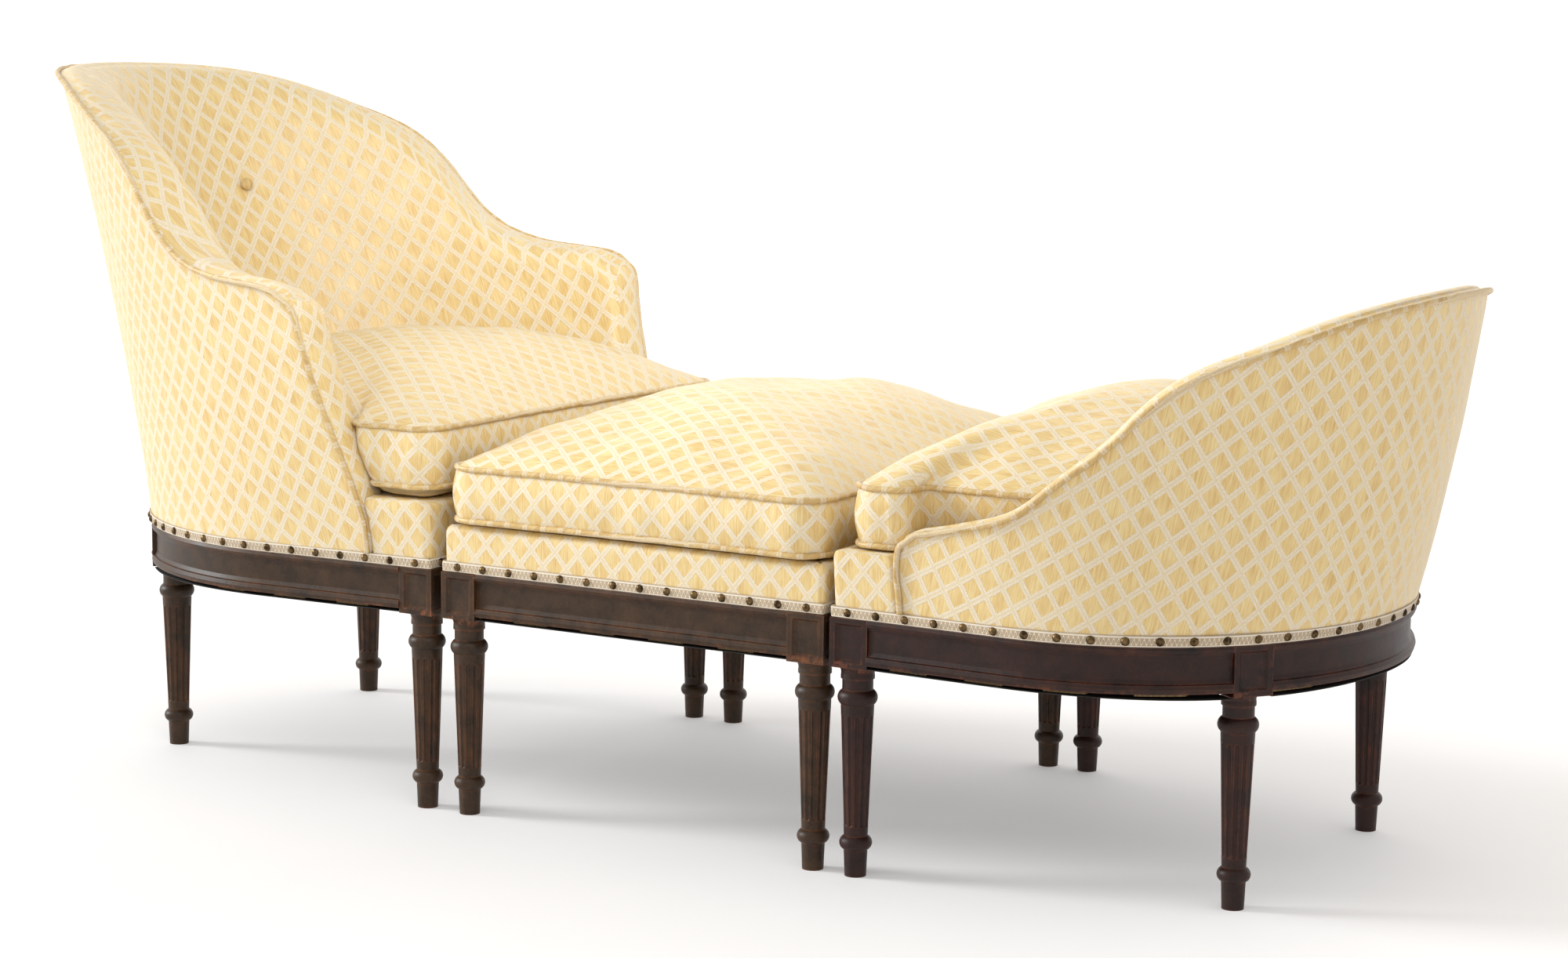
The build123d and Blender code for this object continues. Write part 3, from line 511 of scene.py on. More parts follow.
class Tub:
    """The surfaces of a tub chair's arms and back, shared by its pieces."""

    def __init__(self, shape: ChairShape) -> None:
        """Works out the plans and the share at which the back ends."""
        self.shape = shape
        self.profile = SideProfile(shape)
        self.outer = TubPlan(shape.levels)
        self.inner = TubPlan(shape.inner_levels())
        middle = shape.levels[1].height
        front = self.front_distance(self.outer, middle, COVER_INSET)
        self.back_share = float(self.outer.arcs(middle, COVER_INSET).back_length / front)

    def front_distance(self, plan: TubPlan, height: Array, inset: float) -> Array:
        """Distance along a plan from the middle of the back to the arm front."""
        low = np.minimum(height, self.profile.corner_height)
        return plan.distance_at(low, self.profile.front(low), inset)

    def distances(self, plan: TubPlan, height: Array, share: Array, inset: float) -> Array:
        """Distances along a plan for shares of the way from the back's middle to the front.

        Args:
            plan: The outer or inner plan.
            height: Heights above the floor.
            share: Shares, 0 at the back's middle and 1 at the arm front.
            inset: Distance inwards from the plan.

        Returns:
            The distances; the back's arc takes the same shares at every height.
        """
        back = plan.arcs(height, inset).back_length
        front = self.front_distance(plan, height, inset)
        ahead = (share - self.back_share) / (1.0 - self.back_share)
        return np.where(share <= self.back_share, back * share / self.back_share,
                        back + (front - back) * ahead)

    def outer_point(self, height: Array, share: Array, inset: float = COVER_INSET) -> Array:
        """Places on the outside at heights and shares."""
        return self.outer.point(height, self.distances(self.outer, height, share, inset), inset)

    def inner_point(self, height: Array, share: Array) -> Array:
        """Places on the inside of the padding at heights and shares."""
        return self.inner.point(height, self.distances(self.inner, height, share, 0.0))

    def top_heights(self, share: Array) -> Array:
        """Heights of the crest at shares of the way from the back's middle to the front."""
        height = np.full_like(share, self.profile.corner_height)
        for _ in range(CREST_PASSES):
            found = self.profile.crest(self.outer_point(height, share)[..., 0])
            height = 0.5 * height + 0.5 * found
        return height

    def cone(self, distance: Array, height: Array) -> Array:
        """Weave coordinates of cloth that leans towards the back as it goes round."""
        radius = self.shape.weave_radius + height
        turn = distance / radius
        return np.stack([radius * np.sin(turn), radius * np.cos(turn) - self.shape.weave_radius],
                        axis=-1)


@dataclass
class BackUpholstery:
    """Padded inside, outside cover, arm fronts, welt and buttons of a tub chair."""

    tub: Tub
    rows: int = 54
    stations: int = 104
    roll: float = 0.032
    outer_roll: float = 0.0055
    crown: float = 0.004
    front_round: float = 0.016
    cap_columns: int = 7
    cap_bulge: float = 0.005
    roll_steps: int = 7
    top_steps: int = 8
    outer_steps: int = 3
    dimple_depth: float = 0.0076
    dimple_width: float = 0.025
    fold_depth: float = 0.0015
    pinch: float = 0.004
    pinch_reach: float = 0.006
    thinnest: float = 0.012
    welt_start: float = 0.0135
    welt_back: float = 0.0035
    button_share: float = 0.72
    button_radius: float = 0.0095
    button_depth: float = 0.0014
    button_weave: float = 0.024

    def shares(self) -> Array:
        """Shares of the way from the back's middle to the front, from the front on."""
        close = np.array([0.0, 0.0016, 0.0140 / 3.0, 0.028 / 3.0, 0.016, 0.024])
        return np.concatenate([1.0 - close, np.linspace(0.966, 0.0, self.stations)])

    def loop(self, top: Array) -> tuple[Array, Array, Array, Array]:
        """Heights, shifts and sides of the points round one cross-section.

        Args:
            top: Crest height at each station, as a column.

        Returns:
            Height, shift from the surface, whether the point belongs to the inside, and the
            length along the cloth above the rail, which half_rings sets for the crest.
        """
        up = np.linspace(0.0, 1.0, self.rows)
        turn = np.linspace(0.0, math.pi / 2.0, self.roll_steps + 1)[1:]
        small = np.linspace(math.pi / 2.0, 0.0, self.outer_steps + 1)[:-1]
        heights = np.concatenate([
            RAIL_TOP + up * (top - self.roll - RAIL_TOP),
            top - self.roll * (1.0 - np.sin(turn)),
            np.repeat(top, self.top_steps, axis=1),
            top - self.outer_roll * (1.0 - np.sin(small)),
            RAIL_TOP + up[::-1] * (top - self.outer_roll - RAIL_TOP)], axis=1)
        shift = np.concatenate([
            np.zeros(self.rows), self.roll * (1.0 - np.cos(turn)), np.zeros(self.top_steps),
            self.outer_roll * (1.0 - np.cos(small)), np.zeros(self.rows)])
        lengths = heights - RAIL_TOP
        lengths[:, self.rows:self.rows + self.roll_steps] = (top - self.roll - RAIL_TOP
                                                             + self.roll * turn)
        inside = np.arange(heights.shape[1]) < self.crest_end
        return heights, np.tile(shift, (len(top), 1)), inside, lengths

    def half_rings(self) -> tuple[Array, Array, Array]:
        """Cross-sections of one half, from the arm front to the back's middle.

        Returns:
            The points, their weave coordinates, and the coordinates at which the inside
            cloth ends at the outer edge of the crest.
        """
        tub = self.tub
        share = self.shares()[:, None]
        height, shift, inside, length = self.loop(tub.top_heights(share))
        share = np.broadcast_to(share, height.shape)
        inner = tub.inner_point(height, share)
        outer = tub.outer_point(height, share)
        across = inner - outer
        across[..., 2] = 0.0
        width = np.linalg.norm(across, axis=-1)
        across /= width[..., None]
        top = slice(self.rows + self.roll_steps, self.crest_end)
        steps = (np.arange(self.top_steps) + 1.0) / (self.top_steps + 1.0)
        room = width[:, top] - self.roll - self.outer_roll
        shift[:, top] = self.roll + room * steps
        height[:, top] += self.crown * np.sin(math.pi * steps)
        length[:, top] = length[:, top.start - 1:top.start] + room * steps
        inner_distance = tub.distances(tub.inner, height, share, 0.0)
        outer_distance = tub.distances(tub.outer, height, share, COVER_INSET)
        ahead = np.maximum(0.0, tub.front_distance(tub.inner, height, 0.0) - inner_distance)
        near = np.clip(1.0 - ahead / self.front_round, 0.0, 1.0)
        rounding = self.front_round * (1.0 - np.sqrt(np.maximum(0.0, 1.0 - near ** 2)))
        edge = np.clip(1.0 - ahead / self.pinch_reach, 0.0, 1.0)
        shift = shift + np.where(inside, rounding * 0.8, self.pinch * edge ** 2)
        shift = np.where(inside, np.minimum(shift, width - self.thinnest), shift)
        points = np.where(inside[:, None], inner - shift[..., None] * across,
                          outer + shift[..., None] * across)
        points[..., 2] = height
        self.puff(points, across, inside, height)
        weave = np.where(inside[:, None], tub.cone(inner_distance, length),
                         tub.cone(outer_distance, length))
        base = weave[:, self.rows - 1]
        onward = unit(np.gradient(base, axis=0))
        over = np.stack([-onward[:, 1], onward[:, 0]], axis=1)
        over *= np.sign(over[:, 1:] + 1e-9)
        reach = length[:, self.rows:self.crest_end] - length[:, self.rows - 1:self.rows]
        weave[:, self.rows:self.crest_end] = base[:, None] + over[:, None] * reach[..., None]
        seam = base + over * (reach[:, -1:] + room[:, :1] / (self.top_steps + 1.0)
                              + self.outer_roll)
        return points, weave, seam

    @property
    def crest_end(self) -> int:
        """Number of points of a cross-section up to the outer edge of the crest."""
        return self.rows + self.roll_steps + self.top_steps

    def puff(self, points: Array, across: Array, inside: Array, height: Array) -> None:
        """Gives the inside its soft swell and the dimples of the buttons, in place.

        Args:
            points: Points of the cross-sections, which are moved.
            across: Directions from the outside to the inside.
            inside: Whether each point of a cross-section belongs to the inside.
            height: Heights of the points.
        """
        top = height.max(axis=1, keepdims=True)
        middle = smoothstep(height, RAIL_TOP + 0.08, RAIL_TOP + 0.2)
        middle = middle * (1.0 - smoothstep(height, top - 0.05, top))
        swell = 0.003 * soft_noise(points, 0.22, 3) + 0.0012 * soft_noise(points, 0.07, 4)
        move = np.where(inside, middle * swell, 0.0008 * soft_noise(points, 0.16, 5))
        if self.tub.shape.button_spacing is not None:
            seat = self.button_seats()[0]
            away = np.linalg.norm(points - seat, axis=-1)
            pull = self.dimple_depth * np.exp(-(away / self.dimple_width) ** 1.2)
            fold = self.fold_depth * np.exp(-((points[..., 1] - seat[1]) / 0.02) ** 2)
            fold *= np.exp(-(np.abs(points[..., 2] - seat[2]) / 0.12) ** 2)
            move = np.where(inside, move - pull - fold, move)
        points += np.where(inside[:, None], 1.0, -1.0) * move[..., None] * across

    def button_seats(self) -> tuple[Array, Array]:
        """Places and inward directions of the buttons' middles on the inside.

        Returns:
            The local place of the one on +y, and the direction that it faces.
        """
        shape = self.tub.shape
        crest = shape.levels[-1].height
        height = RAIL_TOP + (crest - RAIL_TOP) * self.button_share
        y = shape.button_spacing / 2.0
        reach, _, radius, _, _ = (float(part) for part in self.tub.inner.numbers(height))
        above = 0.01
        lean = (float(self.tub.inner.numbers(height + above)[0]) - reach) / above
        turn = math.asin(y / radius)
        x = reach - radius * (1.0 - math.cos(turn))
        facing = np.array([-math.cos(turn), -math.sin(turn), lean])
        return np.array([x, y, height]), unit(facing)

    def body(self) -> bpy.types.Object:
        """Makes the padded arms and back with their covers as one closed skin.

        Returns:
            The new object.
        """
        half, weave, seam = self.half_rings()
        rings = both_sides(half, SIDEWAYS)
        weaves = both_sides(weave, (-1.0, 1.0))
        count = rings.shape[1]
        under = np.linspace(0.0, 1.0, self.cap_columns + 2)[1:-1, None]
        bottom = rings[:, -1:] * (1.0 - under) + rings[:, :1] * under
        loops = np.concatenate([rings, bottom], axis=1)
        low = np.zeros(loops.shape[:2] + (2,))
        low[:, :count] = weaves
        high = np.roll(low, -1, axis=1)
        high[:, self.crest_end - 1] = both_sides(seam, (-1.0, 1.0))
        low[:, count - 1:] = high[:, count - 1:] = 0.0
        faces, corners = MeshMaker.skin(loops, low, high)
        vertices = loops.reshape(-1, 3)
        last = len(loops) - 1
        for ring, beside in ((0, 4), (last, last - 4)):
            cap, cap_faces, cap_corners = self.cap(loops[ring], weaves[ring], weaves[beside],
                                                   len(vertices), ring * loops.shape[1],
                                                   ring == last)
            vertices = np.concatenate([vertices, cap])
            faces += cap_faces
            corners = np.concatenate([corners, cap_corners])
        return MeshMaker.build(f"{self.tub.shape.name}_upholstered_back",
                               self.tub.shape.placement.place(vertices), faces, corners)

    def cap(self, loop: Array, edge: Array, beside: Array, start: int, offset: int,
            inward: bool) -> tuple[Array, list[list[int]], Array]:
        """Padded arm front between the inside and outside edges of an end ring.

        Args:
            loop: Points of the ring.
            edge: Weave coordinates of its points without the underside.
            beside: The same of a ring a little way behind it.
            start: Number of the first new vertex.
            offset: Number of the ring's first vertex.
            inward: Whether the faces are wound the other way.

        Returns:
            New points, faces and weave coordinates.
        """
        columns = self.cap_columns
        shares = np.linspace(0.0, 1.0, columns + 2)[:, None]
        count = len(edge)
        rungs = count // 2
        rung = np.arange(rungs)
        inner = loop[:rungs]
        outer = loop[count - 1:count - 1 - rungs:-1]
        grid = inner[:, None] * (1.0 - shares) + outer[:, None] * shares
        swell = smoothstep(rung, 0, 6) * (1.0 - smoothstep(rung, rungs - 8, rungs - 1))
        grid[:, 1:-1, 0] -= self.cap_bulge * swell[:, None] * np.sqrt(np.sin(math.pi
                                                                             * shares[1:-1, 0]))
        middle = rungs // 2
        rise = unit(inner[middle + 6] - inner[middle - 6])
        out = outer[middle] - inner[middle]
        out = unit(out - rise * (out @ rise))
        up = unit(edge[middle + 6] - edge[middle - 6])
        ahead = np.array([up[1], -up[0]])
        ahead *= np.sign(ahead @ (edge[middle] - beside[middle]))
        way = grid - inner[middle]
        lay = edge[middle] + (way @ rise)[..., None] * up + (way @ out)[..., None] * ahead
        numbers = np.empty((rungs, columns + 2), int)
        numbers[:, 0] = offset + rung
        numbers[:, -1] = offset + count - 1 - rung
        numbers[0, 1:-1] = offset + count - 1 + np.arange(columns, 0, -1)
        numbers[1:, 1:-1] = start + np.arange((rungs - 1) * columns).reshape(-1, columns)
        turn = slice(None, None, -1 if inward else 1)
        faces = cell_corners(numbers.T)[:, :, turn].reshape(-1, 4).tolist()
        faces.append(numbers[-1, turn].tolist())
        corners = cell_corners(lay.swapaxes(0, 1))[:, :, turn].reshape(-1, 2)
        return grid[1:, 1:-1].reshape(-1, 3), faces, np.concatenate([corners, lay[-1, turn]])

    def welt(self) -> bpy.types.Object:
        """Makes the piping that runs up the arm fronts and along the crest.

        Returns:
            The new object.
        """
        tub = self.tub
        heights = np.linspace(RAIL_TOP + self.welt_start, tub.profile.corner_height - 0.006, 90)
        fronts = tub.profile.front(heights) + self.welt_back
        distances = tub.outer.distance_at(heights, fronts, WELT_OUT)
        rising = tub.outer.point(heights, distances, WELT_OUT)
        share = self.shares()[5:]
        tops = tub.top_heights(share[:, None])[:, 0]
        crest = tub.outer_point(tops, share, WELT_OUT)
        crest[:, 2] = tops - WELT_OUT
        path = resample(both_sides(np.concatenate([rising, crest]), SIDEWAYS), 620)
        path += unevenness(path, 0.03, 6)
        return MeshMaker.tube(f"{tub.shape.name}_arm_and_crest_welt",
                              tub.shape.placement.place(path), False)

    def covered_buttons(self) -> bpy.types.Object:
        """Makes the covered buttons in the dimples of the inside back.

        Returns:
            The new object.
        """
        seat, facing = self.button_seats()
        side = self.tub.shape.placement.side.value
        middle = seat - self.button_depth * facing
        pair = []
        for way in (1.0, -1.0):
            button = self.button()
            button.location = self.tub.shape.placement.place(middle * np.array([1.0, way, 1.0]))
            axis = Vector((side * facing[0], way * facing[1], facing[2]))
            button.rotation_mode = "QUATERNION"
            button.rotation_quaternion = axis.to_track_quat("Z", "Y")
            bpy.ops.object.transform_apply(location=True, rotation=True, scale=True)
            pair.append(button)
        bpy.ops.object.select_all(action="DESELECT")
        for button in pair:
            button.select_set(True)
        bpy.context.view_layer.objects.active = pair[0]
        bpy.ops.object.join()
        joined = bpy.context.object
        joined.name = f"{self.tub.shape.name}_covered_buttons"
        bpy.ops.object.shade_smooth()
        return joined

    def button(self) -> bpy.types.Object:
        """Makes one button at the origin: a shallow dome with a ring pressed in near its rim.

        Returns:
            The button, which faces up.
        """
        bpy.ops.object.select_all(action="DESELECT")
        bpy.ops.mesh.primitive_cylinder_add(vertices=28, radius=self.button_radius,
                                            depth=self.button_radius * 0.7)
        button = bpy.context.object
        bpy.context.tool_settings.mesh_select_mode = (False, False, True)
        bpy.ops.object.mode_set(mode="EDIT")
        bpy.ops.mesh.select_all(action="DESELECT")
        bpy.ops.object.mode_set(mode="OBJECT")
        for face in button.data.polygons:
            face.select = face.normal.z > 0.9
        bpy.ops.object.mode_set(mode="EDIT")
        for width, rise in ((0.08, 0.10), (0.10, 0.04), (0.06, -0.09), (0.06, 0.08),
                            (0.16, 0.10), (0.22, 0.05)):
            bpy.ops.mesh.inset(thickness=width * self.button_radius)
            bpy.ops.transform.translate(value=(0.0, 0.0, rise * self.button_radius))
        bpy.ops.object.mode_set(mode="OBJECT")
        smooth = button.modifiers.new("Padding", "SUBSURF")
        smooth.levels = 2
        bpy.ops.object.modifier_apply(modifier=smooth.name)
        weave = button.data.uv_layers[0]
        weave.name = "Weave"
        for corner in weave.data:
            corner.uv = corner.uv * self.button_weave + Vector((LATTICE_WIDTH * 0.33, 0.0))
        return button


def mirrored(half: Array) -> Array:
    """Closes a half outline, from the front's middle to the back's middle, round the other side."""
    return np.concatenate([half, (half * np.array([1.0, -1.0]))[-2:0:-1]])


def corner_arc(x: float, y: float, radius: float, start: float, end: float, steps: int) -> Array:
    """Points of an arc about a centre, between two angles in degrees."""
    turns = np.radians(np.linspace(start, end, steps))
    return np.stack([x + radius * np.cos(turns), y + radius * np.sin(turns)], axis=1)


def spread(parts: Sequence[tuple[Array, int]]) -> Array:
    """Joins parts of an outline, each given its own number of points."""
    joined = [resample(points, count + 1)[:-1] for points, count in parts]
    return np.concatenate(joined + [parts[-1][0][-1:]])


def front_parts(front: float, width: float, corner: float,
                draw_in: float) -> list[tuple[Array, int]]:
    """The drawn-in front edge and front corner of a half outline, as parts to spread."""
    ends = np.linspace(0.0, 1.0, 20)
    edge = np.stack([front + draw_in * (1.0 - ends ** 2), (width - corner) * ends], axis=1)
    return [(edge, 34), (corner_arc(front + corner, width - corner, corner, 180, 90, 12), 8)]


@dataclass(frozen=True)
class BoxOutline:
    """Plan of a square pad with round corners and slightly drawn-in sides."""

    front: float
    back: float
    half_width: float
    corner: float
    draw_in: float

    def half(self, height: float, gap: float) -> Array:
        """The half outline, from the front's middle to the back's middle.

        Args:
            height: Height above the floor.
            gap: How far it is moved outwards.

        Returns:
            Rows of x behind the front leg line and y.
        """
        front = self.front - gap
        back = self.back + gap
        width = self.half_width + gap
        corner = self.corner + gap
        parts = front_parts(front, width, corner, self.draw_in)
        share = np.linspace(-1.0, 1.0, 40)
        side = np.stack([(front + back) / 2.0 + share * ((back - front) / 2.0 - corner),
                         width - self.draw_in * (1.0 - share ** 2)], axis=1)
        behind = [(part[::-1] * np.array([-1.0, 1.0]) + np.array([front + back, 0.0]), count)
                  for part, count in reversed(parts)]
        return spread(parts + [(side, 60)] + behind)


@dataclass(frozen=True)
class NotchedOutline:
    """Plan of a seat that widens in front of the arms and fills the inside of a tub."""

    tub: Tub
    front: float
    half_width: float | None
    corner: float
    draw_in: float
    clearance: float
    ear_corner: float

    def half(self, height: float, gap: float) -> Array:
        """The half outline, from the front's middle to the back's middle.

        Args:
            height: Height above the floor.
            gap: How far it is moved outwards.

        Returns:
            Rows of x behind the front leg line and y.
        """
        tub = self.tub
        front = self.front - gap
        arm = float(tub.profile.front(height)) - self.clearance + gap * 0.5
        corner = self.corner + gap
        ear_x = arm - self.ear_corner
        if self.half_width is None:
            width = self.rail_width(height, front + corner)
            far_width = self.rail_width(height, ear_x)
        else:
            width = far_width = self.half_width + gap
        ear_y = far_width - self.ear_corner
        side = np.array([[front + corner, width], [ear_x, far_width]])
        distance = float(tub.front_distance(tub.inner, height, 0.0))
        inner = tub.inner.point(height, np.linspace(1.0, 0.0, 120) * distance,
                                self.clearance)[:, :2]
        bend_y = inner[0, 1] + NOTCH_BEND
        inner = inner[inner[:, 0] > arm + NOTCH_BEND]
        bend = corner_arc(arm + NOTCH_BEND, bend_y, NOTCH_BEND, 180, 270, 8)
        ear = corner_arc(ear_x, ear_y, self.ear_corner, 90, 0, 8)
        inward = np.array([[arm, ear_y], [arm, bend_y]])
        return spread(front_parts(front, width, corner, self.draw_in)
                      + [(side, 14), (ear, 5), (inward, 5), (bend, 4), (inner, 74)])

    def rail_width(self, height: float, x: float) -> float:
        """Half width of the seat's outside where it stands in front of the arms."""
        plan = self.tub.outer
        distance = plan.distance_at(height, x, COVER_INSET)
        return float(plan.point(height, distance, COVER_INSET)[1])


@dataclass
class Pad:
    """A boxed seat or cushion: flat underside, upright sides and a crowned top."""

    name: str
    placement: Placement
    outline: BoxOutline | NotchedOutline
    bottom: float
    low_seam: float
    high_seam: float
    crown: float
    bottom_inset: float = 0.0
    bulge: float = 0.0
    crown_power: float = 0.8
    crown_flat: float = 0.96
    top_round: float = 0.0
    wrinkle: float = 0.001
    pleat_depth: float = 0.0032
    seam_depth: float = 0.0016
    pleats: tuple[int, ...] = ()
    corner_seams: tuple[int, ...] = ()
    side_rows: int = 9
    crown_rows: int = 40
    round_rows: int = 5
    seed: int = 11

    def plan(self, height: float, gap: float) -> Array:
        """The whole outline at a height."""
        return mirrored(self.outline.half(height, gap))

    @staticmethod
    def shrunk(base: Array, share: float) -> Array:
        """The outline moved in by a share, growing rounder on the way."""
        middle = np.array([(base[:, 0].min() + base[:, 0].max()) / 2.0, 0.0])
        waves = np.fft.fftfreq(len(base)) * len(base)
        keep = np.exp(-(waves * 0.25 * math.sqrt(share)) ** 2)
        smooth = np.fft.fft(np.fft.ifft(base[:, 0] + 1j * base[:, 1]) * keep)
        rounded = np.stack([smooth.real, smooth.imag], axis=1)
        return middle + (rounded - middle) * (1.0 - share)

    def rings(self) -> tuple[Array, int]:
        """Rings of places from the underside's middle to the top's middle.

        Returns:
            The rings and the number of the first one of the upright side.
        """
        under = self.plan(self.bottom, -self.bottom_inset)
        found = [self.level(self.shrunk(under, share), self.bottom) for share in (0.97, 0.6, 0.3)]
        found.append(self.level(under, self.bottom))
        if self.low_seam > self.bottom + 0.002:
            found.append(self.level(self.plan(self.bottom, -self.bottom_inset * 0.35),
                                    self.bottom + (self.low_seam - self.bottom) * 0.35))
        first_side = len(found)
        for share in np.linspace(0.0, 1.0, self.side_rows):
            height = self.low_seam + (self.high_seam - self.low_seam) * share
            gap = self.bulge * math.sin(math.pi * share)
            found.append(self.level(self.plan(height, gap), height))
        for turn in self.round_turns():
            inset = self.top_round * (1.0 - math.cos(turn))
            found.append(self.level(self.plan(self.high_seam, -inset),
                                    self.high_seam + self.top_round * math.sin(turn)))
        start = found[-1][:, :2]
        base = float(found[-1][0, 2])
        for share in np.linspace(0.0, 1.0, self.crown_rows + 1)[1:]:
            inward = min(share ** 1.25, 0.985)
            up = math.sin(math.pi / 2.0 * min(1.0, inward / self.crown_flat) ** self.crown_power)
            found.append(self.level(self.shrunk(start, inward), base + (self.crown - base) * up))
        return np.array(found), first_side

    def round_turns(self) -> Array:
        """Angles of the rings on the rounded top edge, if there is one."""
        turns = np.linspace(0.0, math.pi / 2.0, self.round_rows + 1)[1:]
        return turns if self.top_round else turns[:0]

    @staticmethod
    def level(plan: Array, height: float) -> Array:
        """The plan at one height."""
        return np.column_stack([plan, np.full(len(plan), height)])

    def weaves(self, rings: Array, first_side: int, last_side: int) -> tuple[Array, Array, Array]:
        """Weave coordinates at both ends of every strip.

        Args:
            rings: The pad's rings of places.
            first_side: Number of the first ring of the upright side.
            last_side: Number of the last one.

        Returns:
            Coordinates at the strips' starts and ends, and those of the top's outer edge.
        """
        count, size = rings.shape[:2]
        low = np.zeros((count, size + 1, 2))
        loop = np.concatenate([rings, rings[:, :1]], axis=1)
        around = arc_lengths(loop[first_side + self.side_rows - 1, :, :2])
        climb = float(loop[first_side, 0, 2])
        for i in range(first_side, last_side + 1):
            low[i, :, 0] = around
            low[i, :, 1] = climb
            climb += float(np.linalg.norm(loop[i + 1, 0] - loop[i, 0]))
        flat = loop[-1, :, 1::-1]
        for i in range(count - 2, last_side - 1, -1):
            low[i + 1] = flat
            step = loop[i] - loop[i + 1]
            plain = np.linalg.norm(step[:, :2], axis=1) + 1e-9
            growth = np.linalg.norm(step, axis=1) / plain
            flat = flat + step[:, 1::-1] * np.minimum(growth, 8.0)[:, None]
        return low[:, :-1], low[:, 1:], flat

    def build(self) -> bpy.types.Object:
        """Makes the pad as one closed skin.

        Returns:
            The new object.
        """
        plain, first_side = self.rings()
        last_side = first_side + self.side_rows - 1 + len(self.round_turns())
        low, high, edge = self.weaves(plain, first_side, last_side)
        rings = self.soften(plain, last_side)
        count, size = rings.shape[:2]
        faces, corners = MeshMaker.skin(rings, low, high)
        seam = corners.reshape(count - 1, size, 4, 2)[last_side]
        seam[:, 0] = edge[:-1]
        seam[:, 3] = edge[1:]
        around = np.arange(size)
        onward = np.roll(around, -1)
        top = (count - 1) * size
        bottom_fan = np.stack([np.full(size, count * size), onward, around], axis=1)
        top_fan = np.stack([np.full(size, count * size + 1), top + around, top + onward], axis=1)
        middles = np.stack([rings[0].mean(0), rings[-1].mean(0)])
        fan = np.stack([np.tile(middles[1, 1::-1], (size, 1)), low[-1], high[-1]], axis=1)
        return MeshMaker.build(
            self.name, self.placement.place(np.concatenate([rings.reshape(-1, 3), middles])),
            faces + bottom_fan.tolist() + top_fan.tolist(),
            np.concatenate([corners, np.zeros((3 * size, 2)), fan.reshape(-1, 2)]))

    def soften(self, rings: Array, last_side: int) -> Array:
        """Adds the small rise and fall of stuffed cloth above the underside.

        Args:
            rings: The pad's plain rings.
            last_side: Number of the last ring of its side.

        Returns:
            The softened rings.
        """
        soft = rings.copy()
        middle = np.array([(rings[..., 0].min() + rings[..., 0].max()) / 2.0, 0.0])
        out = rings[..., :2] - middle
        out /= np.linalg.norm(out, axis=-1, keepdims=True) + 1e-9
        row = np.arange(len(rings))
        top = smoothstep(row, last_side + 1, last_side + 9)[:, None]
        swell = (2.2 * soft_noise(rings, 0.26, self.seed)
                 + 0.9 * soft_noise(rings, 0.09, self.seed + 1))
        soft[..., 2] += self.wrinkle * swell * top
        side = np.exp(-((row - last_side + self.side_rows / 2) / (self.side_rows / 2.6)) ** 2)
        ripple = soft_noise(rings * np.array([1.0, 1.0, 0.35]), 0.05, self.seed + 2)
        move = self.wrinkle * 0.8 * ripple * side[:, None]
        column = np.arange(rings.shape[1])
        for place in self.pleats:
            away = np.minimum(abs(column - place), rings.shape[1] - abs(column - place))
            near = np.exp(-(away / 9.0) ** 2)[None, :]
            tight = soft_noise(rings * np.array([1.0, 1.0, 0.5]), 0.02, self.seed + 7)
            move = move + self.pleat_depth * tight * near * side[:, None]
        for place in self.corner_seams:
            move = move - self.seam_depth * (column == place) * (side[:, None] > 0.08)
        soft[..., :2] += out * move[..., None]
        return soft

    def piping(self, word: str, height: float) -> bpy.types.Object:
        """Makes the covered cord along one seam."""
        plan = resample(close_loop(self.plan(height, WELT_OUT)), 520)[:-1]
        path = self.level(plan, height)
        path += unevenness(path, 0.035, self.seed)
        return MeshMaker.tube(f"{self.name}_{word}_piping", self.placement.place(path), True)


@dataclass
class Braid:
    """The narrow trimming that covers the bottom edge of the cover."""

    name: str
    placement: Placement
    height: float = 0.014
    thickness: float = 0.002

    def build(self, plan: Callable[[float, float], Array]) -> bpy.types.Object:
        """Makes the braid.

        Args:
            plan: The closed outline that it follows, by height and inset.

        Returns:
            The new object.
        """
        shares = np.array([0.0, 0.0, 0.1, 0.3, 0.5, 0.7, 0.9, 1.0, 1.0])
        outs = np.array([0.0, 0.6, 0.9, 1.0, 1.02, 1.0, 0.9, 0.6, 0.0])
        rows = []
        for share, out in zip(shares, outs):
            height = RAIL_TOP + self.height * share
            path = plan(height, COVER_INSET - self.thickness * out)
            rows.append(Pad.level(resample(close_loop(path), 641)[:-1], height))
        rings = np.array(rows).transpose(1, 0, 2)
        low = np.zeros((len(rings) + 1, len(shares), 2))
        low[..., 0] = arc_lengths(close_loop(rings[:, 4]))[:, None]
        low[..., 1] = self.height * shares
        faces, corners = MeshMaker.skin(rings, low, np.roll(low, -1, axis=1), True)
        return MeshMaker.build(self.name, self.placement.place(rings).reshape(-1, 3), faces,
                               corners)


def chair_plan(tub: Tub) -> Callable[[float, float], Array]:
    """Outline of a chair's rail.

    Args:
        tub: The chair's surfaces.

    Returns:
        A function that gives the closed outline by height and inset.
    """

    def plan(height: float, inset: float) -> Array:
        front = -FRONT_REACH + inset
        far = float(tub.outer.distance_at(height, front, inset))
        half = tub.outer.point(height, np.linspace(far, 0.0, 260), inset)[:, :2]
        edge = np.column_stack([np.full(40, front), np.linspace(0.0, half[0, 1], 40)])
        return mirrored(np.concatenate([edge[:-1], half]))

    return plan


